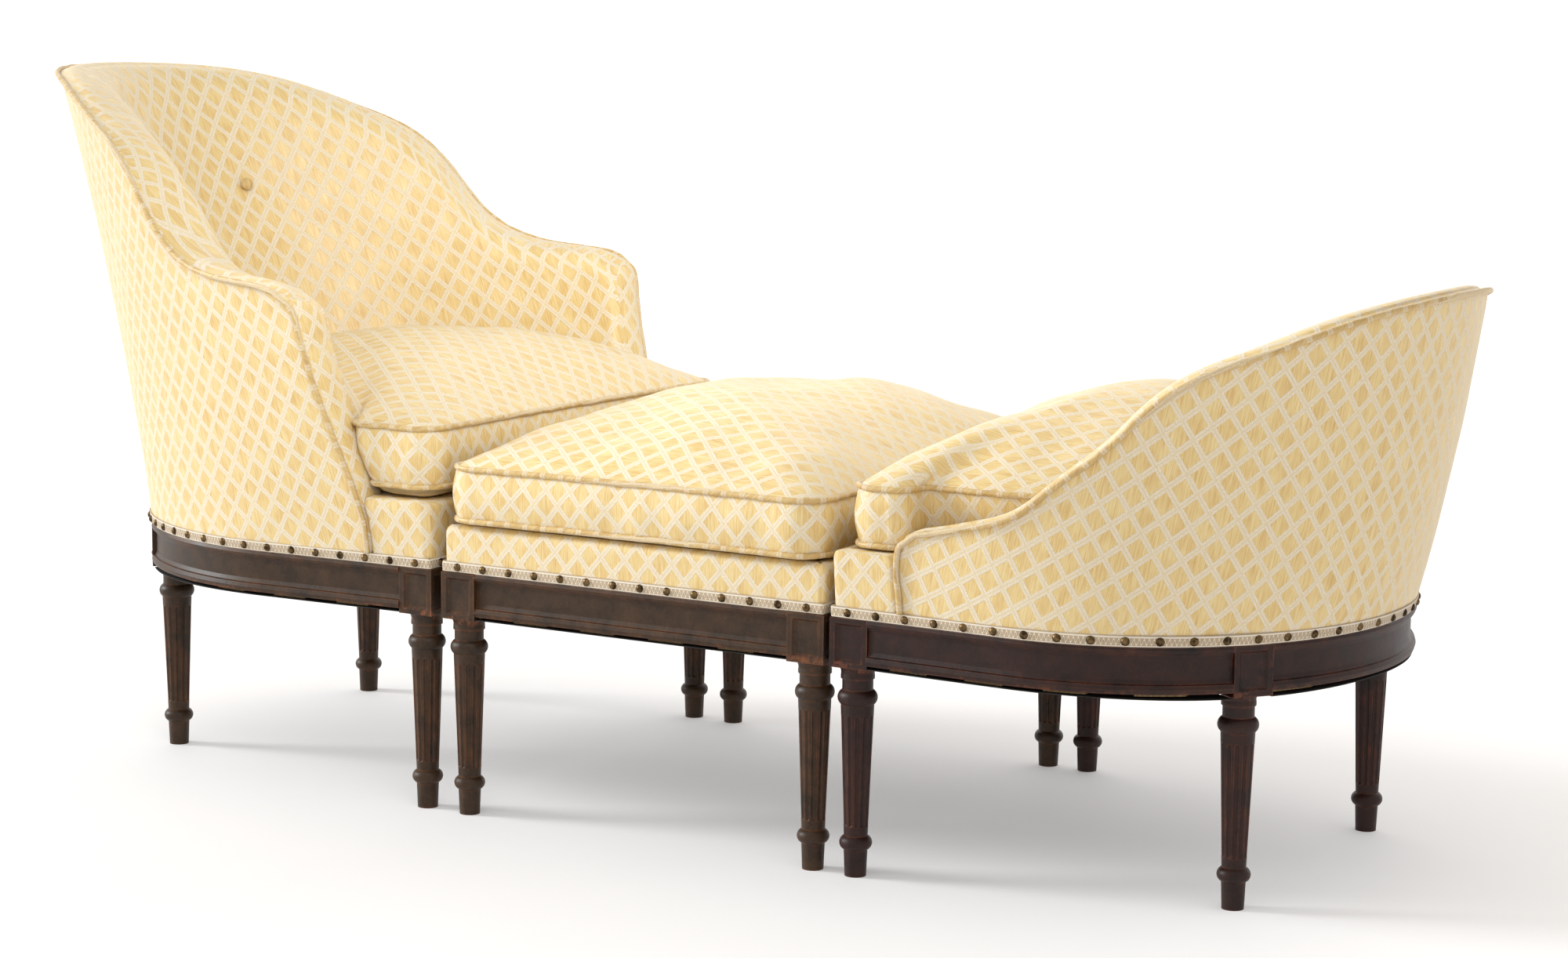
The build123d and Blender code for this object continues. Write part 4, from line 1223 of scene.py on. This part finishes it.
def stool_plan(_: float, inset: float) -> Array:
    """The closed outline of the stool's rail by inset; it is the same at every height."""
    front = -FRONT_REACH + inset
    back = STOOL_BACK - inset
    width = STOOL_HALF_WIDTH - inset
    half = np.array([[front, 0.0], [front, width], [back, width], [back, 0.0]])
    return mirrored(resample(half, 400))


class Value:
    """A number inside a material, whose operators add Math nodes."""

    def __init__(self, shade: "Shade", socket: bpy.types.NodeSocket) -> None:
        """Keeps the socket and the material that it belongs to."""
        self.shade = shade
        self.socket = socket

    def math(self, operation: str, *others: "Value | float") -> "Value":
        """A Math node on this value and others."""
        node = self.shade.node("ShaderNodeMath", {"operation": operation},
                               dict(enumerate((self, *others))))
        return Value(self.shade, node.outputs[0])

    def __add__(self, other: "Value | float") -> "Value":
        """The sum."""
        return self.math("ADD", other)

    __radd__ = __add__

    def __mul__(self, other: "Value | float") -> "Value":
        """The product."""
        return self.math("MULTIPLY", other)

    __rmul__ = __mul__

    def __sub__(self, other: "Value | float") -> "Value":
        """The difference."""
        return self.math("SUBTRACT", other)

    def __rsub__(self, other: float) -> "Value":
        """The difference, with the number first."""
        return (self * -1.0) + other

    def step(self, low: float, high: float) -> "Value":
        """0 below low and 1 above high, smooth between; reversed where high is below low."""
        rising = float(low < high)
        node = self.shade.node("ShaderNodeMapRange", {"interpolation_type": "SMOOTHSTEP"},
                               {0: self, 1: min(low, high), 2: max(low, high),
                                3: 1.0 - rising, 4: rising})
        return Value(self.shade, node.outputs[0])

    def wave(self, period: float) -> "Value":
        """Sine with a period."""
        return (self * (2.0 * math.pi / period)).math("SINE")

    def apart(self, place: float) -> "Value":
        """Distance from a place."""
        return (self - place).math("ABSOLUTE")

    def line(self) -> "Value":
        """Distance to the nearest whole number."""
        return (self + 0.5).math("FRACT").apart(0.5)


class Shade:
    """A material and the one method that adds nodes to it."""

    def __init__(self, name: str) -> None:
        """Makes an empty material."""
        self.material = bpy.data.materials.new(name)
        self.material.use_nodes = True
        self.tree = self.material.node_tree
        self.shader = self.tree.nodes["Principled BSDF"]

    def node(self, kind: str, settings: dict[str, object],
             values: dict[int | str, object]) -> bpy.types.Node:
        """Adds a node.

        Args:
            kind: Type of the node.
            settings: Its settings; a ramp's stops go under "stops".
            values: Numbers, colours or links for its sockets.

        Returns:
            The new node.
        """
        node = self.tree.nodes.new(kind)
        for name, setting in settings.items():
            if name == "stops":
                self.fill_ramp(node.color_ramp, setting)
            else:
                setattr(node, name, setting)
        for name, value in values.items():
            self.put(node.inputs[name], value)
        return node

    def put(self, socket: bpy.types.NodeSocket, value: object) -> None:
        """Links a socket or sets its value."""
        if isinstance(value, Value):
            value = value.socket
        if isinstance(value, bpy.types.NodeSocket):
            self.tree.links.new(value, socket)
        else:
            socket.default_value = value

    @staticmethod
    def fill_ramp(ramp: bpy.types.ColorRamp, stops: Sequence[tuple[float, tuple]]) -> None:
        """Sets a ramp's places and colours."""
        while len(ramp.elements) < len(stops):
            ramp.elements.new(0.5)
        for element, (place, colour) in zip(ramp.elements, stops):
            element.position = place
            element.color = colour

    def coordinates(self, *scale: float) -> bpy.types.NodeSocket:
        """Object coordinates of the piece, scaled along each axis where scales are given."""
        place = self.node("ShaderNodeTexCoord", {}, {}).outputs["Object"]
        if scale:
            place = self.node("ShaderNodeMapping", {}, {"Vector": place,
                                                        "Scale": scale}).outputs[0]
        return place

    def split(self, vector: bpy.types.NodeSocket) -> list[Value]:
        """The three parts of a vector."""
        node = self.node("ShaderNodeSeparateXYZ", {}, {0: vector})
        return [Value(self, part) for part in node.outputs]

    def weave(self) -> list[Value]:
        """The two weave coordinates, in metres."""
        return self.split(self.node("ShaderNodeUVMap", {"uv_map": "Weave"}, {}).outputs[0])[:2]

    def noise(self, place: bpy.types.NodeSocket | tuple[Value, Value], scale: float,
              detail: float = 3.0, rough: float = 0.55) -> Value:
        """Noise from 0 to 1.

        Args:
            place: Coordinates, or two values that make them.
            scale: Scale of the noise.
            detail: Number of octaves.
            rough: Weight of the finer octaves.

        Returns:
            The noise.
        """
        if isinstance(place, tuple):
            place = self.node("ShaderNodeCombineXYZ", {}, dict(enumerate(place))).outputs[0]
        node = self.node("ShaderNodeTexNoise", {}, {"Vector": place, "Scale": scale,
                                                    "Detail": detail, "Roughness": rough})
        return Value(self, node.outputs[0])

    def ramp(self, factor: Value, *stops: tuple[float, Colour]) -> bpy.types.NodeSocket:
        """Colours, given as screen values, along a value."""
        colours = [(place, paint(*colour)) for place, colour in stops]
        return self.node("ShaderNodeValToRGB", {"stops": colours}, {0: factor}).outputs[0]

    def mix(self, factor: Value, first: object, second: object) -> bpy.types.NodeSocket:
        """Mixes two colours."""
        node = self.node("ShaderNodeMix", {"data_type": "RGBA"}, {0: factor, 6: first, 7: second})
        return node.outputs[2]

    def bump(self, height: Value, distance: float, strength: float = 1.0) -> None:
        """Gives the surface a relief."""
        node = self.node("ShaderNodeBump", {}, {"Strength": strength, "Distance": distance,
                                                "Height": height})
        self.put(self.shader.inputs["Normal"], node.outputs[0])

    def finish(self, colour: object, roughness: object, **numbers: object) -> bpy.types.Material:
        """Sets the shader's sockets and returns the material."""
        self.put(self.shader.inputs["Base Color"], colour)
        self.put(self.shader.inputs["Roughness"], roughness)
        for name, value in numbers.items():
            title = name.replace("_", " ").title().replace("Ior", "IOR")
            self.put(self.shader.inputs[title], value)
        return self.material


def paint(red: float, green: float, blue: float) -> tuple[float, float, float, float]:
    """Linear colour from screen values of 0 to 255."""
    values = []
    for value in (red, green, blue):
        share = value / 255.0
        values.append(share / 12.92 if share <= 0.04045 else ((share + 0.055) / 1.055) ** 2.4)
    return values[0], values[1], values[2], 1.0


@dataclass(frozen=True)
class Finish:
    """A finish with the name of its material."""

    name: str

    def make(self) -> bpy.types.Material:
        """The material of the finish."""
        raise NotImplementedError


@dataclass(frozen=True)
class Damask(Finish):
    """Silk with a lattice of twin cream ribbons on a striated gold ground."""

    pale: Colour = (229, 208, 154)
    gold: Colour = (220, 191, 130)
    deep: Colour = (205, 166, 99)
    ribbon: Colour = (229, 217, 194)
    ribbon_low: Colour = (216, 199, 169)
    pitch: float = 0.0263
    band: float = 0.0037
    slit: float = 0.00055
    tooth: float = 0.00035
    tooth_pitch: float = 0.0021
    relief: float = 0.00035

    def make(self) -> bpy.types.Material:
        """Builds the material on the weave coordinates.

        Returns:
            The material.
        """
        shade = Shade(self.name)
        u, v = shade.weave()
        wander = shade.noise((u, v), 18.0, 2.0) - 0.5
        across = u * (1.0 / LATTICE_WIDTH) + wander * 0.05
        along = v * (1.0 / LATTICE_HEIGHT) + wander * 0.04
        tooth = v.wave(self.tooth_pitch) * self.tooth
        first = (across + along).line() * self.pitch + tooth
        second = (across - along).line() * self.pitch + tooth
        near = first.math("MINIMUM", second)
        band = near.step(self.band + 0.0004, self.band - 0.0004)
        slit = near.step(self.slit + 0.0003, self.slit - 0.0002)
        ribbon = band * (1.0 - slit * 0.5)
        threads = shade.noise((u * 1400.0, v * 60.0), 1.0, 2.0)
        streaks = shade.noise((u * 560.0, v * 22.0), 1.0, 3.0, 0.6)
        fields = shade.noise((u * 60.0, v * 26.0), 1.0, 2.0)
        tone = streaks * 0.65 + fields * 0.35 + (threads - 0.5) * 0.3
        ground = shade.ramp(tone, (0.34, self.pale), (0.50, self.gold), (0.66, self.deep))
        silk = shade.noise((u * 500.0, v * 500.0), 1.0, 2.0)
        cream = shade.ramp(silk * 0.6 + streaks * 0.4, (0.35, self.ribbon_low),
                           (0.6, self.ribbon))
        shade.bump(ribbon + threads * 0.35 + silk * 0.15, self.relief, 0.9)
        return shade.finish(shade.mix(ribbon, ground, cream), ribbon * 0.35 + 0.45,
                            specular_ior_level=0.3, coat_weight=(1.0 - ribbon) * 0.45,
                            coat_roughness=0.4)


@dataclass(frozen=True)
class Braiding(Finish):
    """Cream braid with a looped cord between straight headings, painted darker between the cords as
    painted shade.
    """

    light: Colour = (240, 226, 204)
    # Painted shade: the colour of the low parts between the cords and of the twist's dark bands.
    dark: Colour = (182, 154, 118)
    period: float = 0.0058
    height: float = 0.014
    strand: float = 0.0012

    def make(self) -> bpy.types.Material:
        """Builds the material on the weave coordinates.

        Returns:
            The material.
        """
        shade = Shade(self.name)
        u, v = shade.weave()
        loop = u.wave(self.period) * (self.height * 0.24) + self.height * 0.46
        cord = v.apart(loop).step(0.0021, 0.0006)
        top = v.apart(self.height * 0.86).step(0.0017, 0.0006)
        foot = v.apart(self.height * 0.1).step(0.0013, 0.0004)
        raised = cord.math("MAXIMUM", top).math("MAXIMUM", foot)
        twist = (u + v).wave(self.strand) * 0.5 + 0.5
        # The braid is painted darker where it lies low and along the strands' twist: painted shade in
        # its recesses, keyed to the same relief as the bump.
        tone = raised * 0.75 + twist * 0.12 + shade.noise((u, v), 90.0, 3.0) * 0.3
        shade.bump(raised + twist * 0.2, 0.0012)
        return shade.finish(shade.ramp(tone, (0.12, self.dark), (0.75, self.light)), 0.75,
                            sheen_weight=0.2, specular_ior_level=0.3)


@dataclass(frozen=True)
class PaintedWood(Finish):
    """Old paint over walnut, worn through on the edges and along the rails' lower edge."""

    paint_dark: Colour
    paint_light: Colour
    bare: Colour
    bare_share: float = 0.5
    edge_radius: float = 0.0035
    scuff_top: float = 0.272
    scuff_bottom: float = 0.246

    def make(self) -> bpy.types.Material:
        """Builds the material on object coordinates.

        Returns:
            The material.
        """
        shade = Shade(self.name)
        place = shade.coordinates()
        grime = shade.noise(place, 34.0, 5.0, 0.62)
        fine = shade.noise(place, 260.0, 4.0, 0.6)
        old = shade.ramp(grime * 0.7 + fine * 0.3, (0.34, self.paint_dark),
                         (0.62, self.paint_light))
        grain = shade.noise(shade.coordinates(6.0, 6.0, 1.0), 40.0, 4.0, 0.6)
        deep = tuple(0.55 * part for part in self.bare)
        wood = shade.ramp(grain, (0.3, deep), (0.7, self.bare))
        bevel = shade.node("ShaderNodeBevel", {"samples": 4}, {"Radius": self.edge_radius})
        normal = shade.node("ShaderNodeNewGeometry", {}, {}).outputs["Normal"]
        product = shade.node("ShaderNodeVectorMath", {"operation": "DOT_PRODUCT"},
                             {0: bevel.outputs[0], 1: normal})
        edge = 1.0 - Value(shade, product.outputs["Value"])
        worn = edge.step(0.02, 0.16) * grime.step(0.3, 0.62)
        patches = shade.noise(place, 19.0, 4.0, 0.65).step(0.72 - 0.2 * self.bare_share, 0.85)
        height = shade.split(place)[2]
        scuffed = height.step(self.scuff_top, self.scuff_top - 0.010)
        scuffed *= height.step(self.scuff_bottom, self.scuff_bottom + 0.008)
        chipped = shade.noise(place, 46.0, 4.0, 0.7).step(0.50, 0.60)
        mask = worn.math("MAXIMUM", patches * 0.6).math("MAXIMUM", scuffed * chipped * 0.85)
        shade.bump(fine * 0.4 + grime * 0.6, 0.0007, 0.6)
        return shade.finish(shade.mix(mask, old, wood), grime * 0.2 + 0.36,
                            specular_ior_level=0.28)


@dataclass(frozen=True)
class PlainWood(Finish):
    """Raw beech of the hidden frame."""

    dark: Colour = (150, 108, 66)
    light: Colour = (203, 160, 108)

    def make(self) -> bpy.types.Material:
        """Builds the material on object coordinates.

        Returns:
            The material.
        """
        shade = Shade(self.name)
        place = shade.coordinates(1.0, 5.0, 5.0)
        grain = shade.noise(place, 42.0, 5.0, 0.6)
        rays = shade.noise(place, 300.0, 2.0)
        colour = shade.ramp(grain * 0.8 + rays * 0.2, (0.3, self.dark), (0.7, self.light))
        shade.bump(grain, 0.0004, 0.5)
        return shade.finish(colour, grain * 0.2 + 0.55)


@dataclass(frozen=True)
class Metal(Finish):
    """Cast or drawn metal with tarnish in patches."""

    bright: Colour
    dull: Colour
    roughness: float = 0.3

    def make(self) -> bpy.types.Material:
        """Builds the material on object coordinates.

        Returns:
            The material.
        """
        shade = Shade(self.name)
        place = shade.coordinates()
        tarnish = shade.noise(place, 120.0, 4.0, 0.6)
        shade.bump(shade.noise(place, 500.0), 0.0002, 0.4)
        return shade.finish(shade.ramp(tarnish, (0.38, self.dull), (0.62, self.bright)),
                            tarnish * -0.25 + (self.roughness + 0.25), metallic=0.95)


@dataclass(frozen=True)
class PlainWeave(Finish):
    """Plain woven cloth or webbing on object coordinates."""

    light: Colour
    dark: Colour
    thread: float

    def make(self) -> bpy.types.Material:
        """Builds the material on object coordinates.

        Returns:
            The material.
        """
        shade = Shade(self.name)
        place = shade.coordinates()
        x, y, _ = shade.split(place)
        weave = x.wave(self.thread) * y.wave(self.thread) * 0.5 + 0.5
        patches = shade.noise(place, 30.0, 4.0)
        colour = shade.ramp(weave * 0.4 + patches * 0.6, (0.3, self.dark), (0.7, self.light))
        shade.bump(weave, self.thread * 0.3, 0.7)
        return shade.finish(colour, patches * 0.15 + 0.8)


@dataclass(frozen=True)
class FloorPaint(Finish):
    """Pale studio floor or backdrop, lit a little from below."""

    glow: float
    dark: Colour = (224, 222, 221)
    light: Colour = (228, 226, 225)

    def make(self) -> bpy.types.Material:
        """Builds the material on object coordinates.

        Returns:
            The material.
        """
        shade = Shade(self.name)
        cloud = shade.noise(shade.coordinates(), 1.2)
        return shade.finish(shade.ramp(cloud, (0.3, self.dark), (0.7, self.light)),
                            cloud * 0.05 + 0.72, specular_ior_level=0.1,
                            emission_color=(1.0, 0.985, 0.97, 1.0),
                            emission_strength=self.glow)


def look(finish: Finish) -> bpy.types.Material:
    """A field whose material is made from its finish when the scene is built."""
    return field(default_factory=finish.make)


@dataclass(frozen=True)
class Finishes:
    """All materials of the scene, each made once."""

    damask: bpy.types.Material = look(Damask("Lattice damask"))
    # The piping and the covered buttons use the same damask painted darker throughout: painted shade
    # on the cords and buttons, not a different cloth.
    piping: bpy.types.Material = look(
        Damask("Shade-darkened bias piping", (214, 188, 134), (200, 168, 108), (178, 140, 84),
               (220, 202, 170), (200, 176, 138)))
    braid: bpy.types.Material = look(Braiding("Cream braid"))
    painted: bpy.types.Material = look(
        PaintedWood("Worn olive paint", (38, 26, 15), (67, 46, 28), (134, 78, 44)))
    painted_foot: bpy.types.Material = look(
        PaintedWood("Worn russet paint", (26, 13, 9), (50, 26, 19), (118, 64, 40), 0.8))
    plain: bpy.types.Material = look(PlainWood("Raw beech"))
    steel: bpy.types.Material = look(Metal("Drawn steel", (170, 168, 165), (92, 88, 84)))
    brass: bpy.types.Material = look(Metal("Tarnished brass", (122, 98, 64), (48, 37, 26)))
    jute: bpy.types.Material = look(
        PlainWeave("Jute webbing", (196, 168, 122), (140, 112, 74), 0.0024))
    cloth: bpy.types.Material = look(
        PlainWeave("Black platform cloth", (48, 44, 42), (24, 22, 21), 0.0012))
    floor: bpy.types.Material = look(FloorPaint("Studio floor", 0.25))
    backdrop: bpy.types.Material = look(FloorPaint("Studio backdrop", 0.8))


@dataclass
class UnitDresser:
    """Dresses one unit of the row: soft pieces, trim and the finishes of its solids."""

    name: str
    body: str
    finishes: Finishes
    nodes: dict[str, bpy.types.Object]
    deck: Pad
    cushion: Pad
    sag: float = 0.009
    longest_edge: float = 0.05

    def node(self, word: str) -> str:
        """Full name of one of the unit's CAD nodes."""
        return f"{self.name}_{word}"

    def settle(self, piece: bpy.types.Object, material: bpy.types.Material, slot: Slot,
               body: str, *words: str) -> None:
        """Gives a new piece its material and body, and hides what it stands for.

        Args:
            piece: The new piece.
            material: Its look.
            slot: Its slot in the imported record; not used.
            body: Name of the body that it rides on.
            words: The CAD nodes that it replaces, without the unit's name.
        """
        self.coat(piece, material)
        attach(piece, body)
        if words:
            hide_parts(*(self.node(word) for word in words))
        LOG.info("%s: %d faces", piece.name, len(piece.data.polygons))

    @staticmethod
    def coat(piece: bpy.types.Object, material: bpy.types.Material) -> None:
        """Gives a piece one material in place of those that it has."""
        piece.data.materials.clear()
        piece.data.materials.append(material)

    def soft(self, piece: bpy.types.Object, body: str, *words: str, fill: float = 0.85) -> None:
        """Settles a padded piece in the damask."""
        self.settle(piece, self.finishes.damask, Slot.DAMASK, body, *words)

    def dress_back(self, tub: Tub) -> None:
        """Builds the upholstered arms and back of a chair."""
        back = BackUpholstery(tub)
        # The welt and the buttons get the darker piping damask, whose darkness is painted shade.
        piping = self.finishes.piping
        self.soft(back.body(), self.body, "back_padding", "outside_cover")
        self.settle(back.welt(), piping, Slot.DAMASK, self.body, "back_welt")
        if tub.shape.button_spacing is not None:
            self.settle(back.covered_buttons(), piping, Slot.DAMASK, self.body, "buttons")

    def dress(self, plan: Callable[[float, float], Array]) -> None:
        """Builds deck, cushion, braid and dust cover, and finishes the unit's solids.

        Args:
            plan: The closed outline of the unit's rail by height and inset.
        """
        cushion_body = self.node("cushion_body")
        self.soft(self.deck.build(), self.body, "deck", fill=0.95)
        self.soft(self.cushion.build(), cushion_body, "cushion")
        # The cushion pipings get the darker piping damask, whose darkness is painted shade.
        for word, height in (("lower", self.cushion.low_seam),
                             ("upper", self.cushion.high_seam)):
            self.settle(self.cushion.piping(word, height), self.finishes.piping, Slot.DAMASK,
                        cushion_body)
        braid = Braid(self.node("looped_braid"), self.deck.placement).build(plan)
        self.settle(braid, self.finishes.braid, Slot.BRAID, self.body, "gimp")
        self.dust_cover()
        self.solids()

    def dust_cover(self) -> None:
        """Adds the cloth under the seat, which hangs a little in its middle."""
        source = self.nodes[self.node("dust_cover")].data
        piece = add_object(self.node("platform_cloth"), source.copy())
        low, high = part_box(self.node("dust_cover"))
        size = high - low
        with edited(piece.data) as work:
            bmesh.ops.remove_doubles(work, verts=work.verts, dist=1e-6)
            for _ in range(5):
                long_ones = [edge for edge in work.edges if edge.calc_length() > self.longest_edge]
                bmesh.ops.subdivide_edges(work, edges=long_ones, cuts=1)
                bmesh.ops.triangulate(work, faces=work.faces)
            for vertex in work.verts:
                place = vertex.co * 2.0 - (low + high)
                sag_x, sag_y = (max(0.0, 1.0 - abs(place[k] / size[k]) ** 2.2) for k in (0, 1))
                vertex.co.z -= self.sag * sag_x * sag_y
        self.settle(piece, self.finishes.cloth, Slot.CLOTH, self.body, "dust_cover")
        self.node("webbing")

    def solids(self) -> None:
        """Gives the CAD nodes that stay their finishes."""
        looks = self.finishes
        wood = looks.painted_foot if self.name == "foot" else looks.painted
        materials = {"leg": wood, "rail": wood, "corner_blocks": looks.plain,
                     "back_frame": looks.plain, "corner_screws": looks.steel,
                     "springs": looks.steel, "webbing": looks.jute, "nails": looks.brass}
        for name, node in self.nodes.items():
            word = next((word for word in materials if word in name), None)
            if word and name.startswith(f"{self.name}_"):
                self.coat(node, materials[word])


@dataclass(frozen=True)
class Row:
    """Sizes of the whole row."""

    head_line: float = -0.2232
    stool_line: float = -0.1558
    foot_line: float = 0.4181

    def head_shape(self) -> ChairShape:
        """The high chair at the head."""
        return ChairShape(
            "head", "head_chair", Placement(self.head_line, Side.HEAD),
            (PlanLevel(RAIL_TOP, 0.638, 0.366, 0.362, 55.0, 2.0),
             PlanLevel(0.600, 0.715, 0.400, 0.306, 46.0, 4.6),
             PlanLevel(0.951, 0.831, 0.450, 0.276, 48.0, 6.6)),
            ((0.084, 0.0), (0.087, 0.079), (0.098, 0.14), (0.134, 0.271), (0.16, 0.378),
             (0.178, 0.48), (0.19, 0.53), (0.217, 0.554), (0.3, 0.574), (0.397, 0.591),
             (0.481, 0.646), (0.554, 0.756), (0.626, 0.843), (0.71, 0.897), (0.806, 0.949),
             (0.914, 0.984), (1.03, 1.0)),
            0.116, 0.408, 2.7, 0.192)

    def foot_shape(self) -> ChairShape:
        """The low chair at the foot."""
        return ChairShape(
            "foot", "foot_chair", Placement(self.foot_line, Side.FOOT),
            (PlanLevel(RAIL_TOP, 0.557, 0.367, 0.394, 40.0, 2.5),
             PlanLevel(0.500, 0.601, 0.384, 0.360, 40.0, 3.3),
             PlanLevel(0.724, 0.636, 0.402, 0.400, 48.0, 4.5)),
            ((0.11, 0.0), (0.105, 0.1), (0.104, 0.19), (0.114, 0.242), (0.141, 0.272),
             (0.19, 0.29), (0.252, 0.312), (0.346, 0.356), (0.44, 0.466), (0.519, 0.564),
             (0.597, 0.688), (0.676, 0.778), (0.786, 0.854), (0.896, 0.933), (1.02, 1.0)),
            0.092, 0.403, 1.55, None)

    @staticmethod
    def deck(name: str, placement: Placement, outline: BoxOutline | NotchedOutline,
             top: float, side_rows: int) -> Pad:
        """The sprung and padded deck of a unit."""
        return Pad(f"{name}_sprung_edge", placement, outline, RAIL_TOP, RAIL_TOP, top - 0.012,
                   top - 0.0006, top_round=EDGE_ROUND, crown_rows=8, side_rows=side_rows,
                   wrinkle=0.0006, crown_power=1.0)

    def chair_pads(self, shape: ChairShape, tub: Tub) -> tuple[Pad, Pad]:
        """Deck and cushion of a chair.

        Args:
            shape: Sizes of the chair.
            tub: Its surfaces.

        Returns:
            The deck and the cushion.
        """
        deck = self.deck(shape.name, shape.placement,
                         NotchedOutline(tub, -FRONT_REACH + COVER_INSET, None, 0.012, 0.0,
                                        0.0015, 0.006), shape.deck_top, 12)
        sizes = {"head": (-0.021, 0.350, 0.424, 0.500, 0.588, 21),
                 "foot": (-0.006, 0.346, 0.409, 0.478, 0.580, 41)}[shape.name]
        front, width, low, high, crown, seed = sizes
        cushion = Pad(f"{shape.name}_loose_cushion", shape.placement,
                      NotchedOutline(tub, front, width, 0.034, 0.005, 0.004, 0.024),
                      shape.deck_top + SOFT_GAP, low, high, crown, bottom_inset=0.022,
                      bulge=0.0065, wrinkle=0.0024, pleats=(62, 226), seed=seed)
        return deck, cushion

    def stool_pads(self) -> tuple[Pad, Pad]:
        """Deck and cushion of the stool.

        Returns:
            The deck and the cushion.
        """
        placement = Placement(self.stool_line, Side.FOOT)
        deck = self.deck("ottoman", placement,
                         BoxOutline(-FRONT_REACH + COVER_INSET, STOOL_BACK - COVER_INSET,
                                    STOOL_HALF_WIDTH - COVER_INSET, 0.008, 0.0),
                         STOOL_DECK_TOP, 10)
        cushion = Pad("ottoman_loose_cushion", placement,
                      BoxOutline(-FRONT_REACH + 0.011, STOOL_BACK - 0.011, 0.358, 0.036, 0.005),
                      STOOL_DECK_TOP + SOFT_GAP, 0.389, 0.456, 0.552, bottom_inset=0.012,
                      bulge=0.006, wrinkle=0.0024, seed=31,
                      corner_seams=(38, 106, 182, 250))
        return deck, cushion


@dataclass(frozen=True)
class Studio:
    """Floor, lights and camera."""

    lens: float = 74.7
    place: tuple[float, float, float] = (2.275, -3.690, 1.031)
    azimuth: float = 30.29
    elevation: float = 8.11
    roll: float = 0.60

    def camera(self) -> None:
        """Makes the camera at the photograph's viewing angle."""
        data = bpy.data.cameras.new("Camera")
        data.lens = self.lens
        data.sensor_width = 36.0
        data.sensor_fit = "HORIZONTAL"
        data.clip_start = 0.05
        data.clip_end = 60.0
        azimuth, elevation, roll = np.radians([self.azimuth, self.elevation, self.roll])
        back = Vector((math.sin(azimuth) * math.cos(elevation),
                       -math.cos(azimuth) * math.cos(elevation), math.sin(elevation)))
        right = (-back).cross(Vector((0.0, 0.0, 1.0))).normalized()
        up = right.cross(-back)
        turned_right = math.cos(roll) * right + math.sin(roll) * up
        turned_up = -math.sin(roll) * right + math.cos(roll) * up
        matrix = Matrix.Identity(4)
        for column, axis in enumerate((turned_right, turned_up, back, Vector(self.place))):
            for row in range(3):
                matrix[row][column] = axis[row]
        camera = add_object("Camera", data)
        camera.matrix_world = matrix
        bpy.context.scene.camera = camera

    @staticmethod
    def plane(name: str, size: float, place: tuple[float, float, float],
              turn: tuple[float, float, float], material: bpy.types.Material) -> None:
        """Makes one large square of the studio.

        Args:
            name: Name of the new piece.
            size: Length of its edges.
            place: Its middle.
            turn: Its rotation about X, Y and Z.
            material: Its look.
        """
        bpy.ops.object.select_all(action="DESELECT")
        bpy.ops.mesh.primitive_plane_add(size=size, location=place, rotation=turn)
        square = bpy.context.object
        square.name = name
        bpy.ops.object.transform_apply(location=True, rotation=True, scale=True)
        square.data.materials.append(material)

    def surroundings(self, finishes: Finishes) -> None:
        """Makes the floor and the backdrop far behind."""
        self.plane("studio_floor", 30.0, (0.0, 0.0, 0.0), (0.0, 0.0, 0.0), finishes.floor)
        self.plane("studio_backdrop", 24.0, (-4.0, 9.0, 0.0), (math.pi / 2.0, 0.0, 0.35),
                   finishes.backdrop)

    @staticmethod
    def lamp(data: bpy.types.Light, energy: float, colour: tuple[float, float, float],
             place: tuple[float, float, float], way: Vector) -> None:
        """Hangs one light.

        Args:
            data: The light.
            energy: Its strength.
            colour: Its linear colour.
            place: Where it hangs.
            way: The way in which it shines.
        """
        data.energy = energy
        data.color = colour
        lamp = add_object(data.name, data)
        lamp.location = place
        lamp.rotation_euler = way.to_track_quat("-Z", "Y").to_euler()

    def light(self) -> None:
        """Sets the pale world, the soft key light from the left and the light on the seat."""
        world = bpy.data.worlds.new("Studio air")
        world.use_nodes = True
        background = world.node_tree.nodes["Background"]
        background.inputs["Color"].default_value = (1.0, 0.995, 0.985, 1.0)
        background.inputs["Strength"].default_value = 0.78
        bpy.context.scene.world = world
        bpy.context.scene.view_settings.view_transform = "Standard"
        sun = bpy.data.lights.new("key_light", "SUN")
        sun.angle = 0.32
        self.lamp(sun, 2.5, (0.95, 0.985, 1.0), (-3.0, -1.0, 2.5), Vector((0.87, 0.30, -0.36)))
        box = bpy.data.lights.new("seat_light", "AREA")
        box.shape = "RECTANGLE"
        box.size, box.size_y = 1.1, 0.7
        box.spread = math.radians(70.0)
        place = (0.5, -0.9, 1.45)
        self.lamp(box, 4.0, (0.93, 0.975, 1.0), place,
                  Vector((-0.45, 0.5, 0.6)) - Vector(place))


def main() -> None:
    """Loads the frame, dresses the three units, and sets the studio."""
    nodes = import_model()["nodes"]
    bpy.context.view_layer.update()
    bpy.ops.object.select_all(action="DESELECT")
    finishes = Finishes()
    row = Row()
    for shape in (row.head_shape(), row.foot_shape()):
        tub = Tub(shape)
        chair = UnitDresser(shape.name, shape.body, finishes, nodes, *row.chair_pads(shape, tub))
        chair.dress_back(tub)
        chair.dress(chair_plan(tub))
    UnitDresser("ottoman", "ottoman", finishes, nodes, *row.stool_pads()).dress(stool_plan)
    studio = Studio()
    studio.surroundings(finishes)
    studio.light()
    studio.camera()


if __name__ == "__main__":
    main()
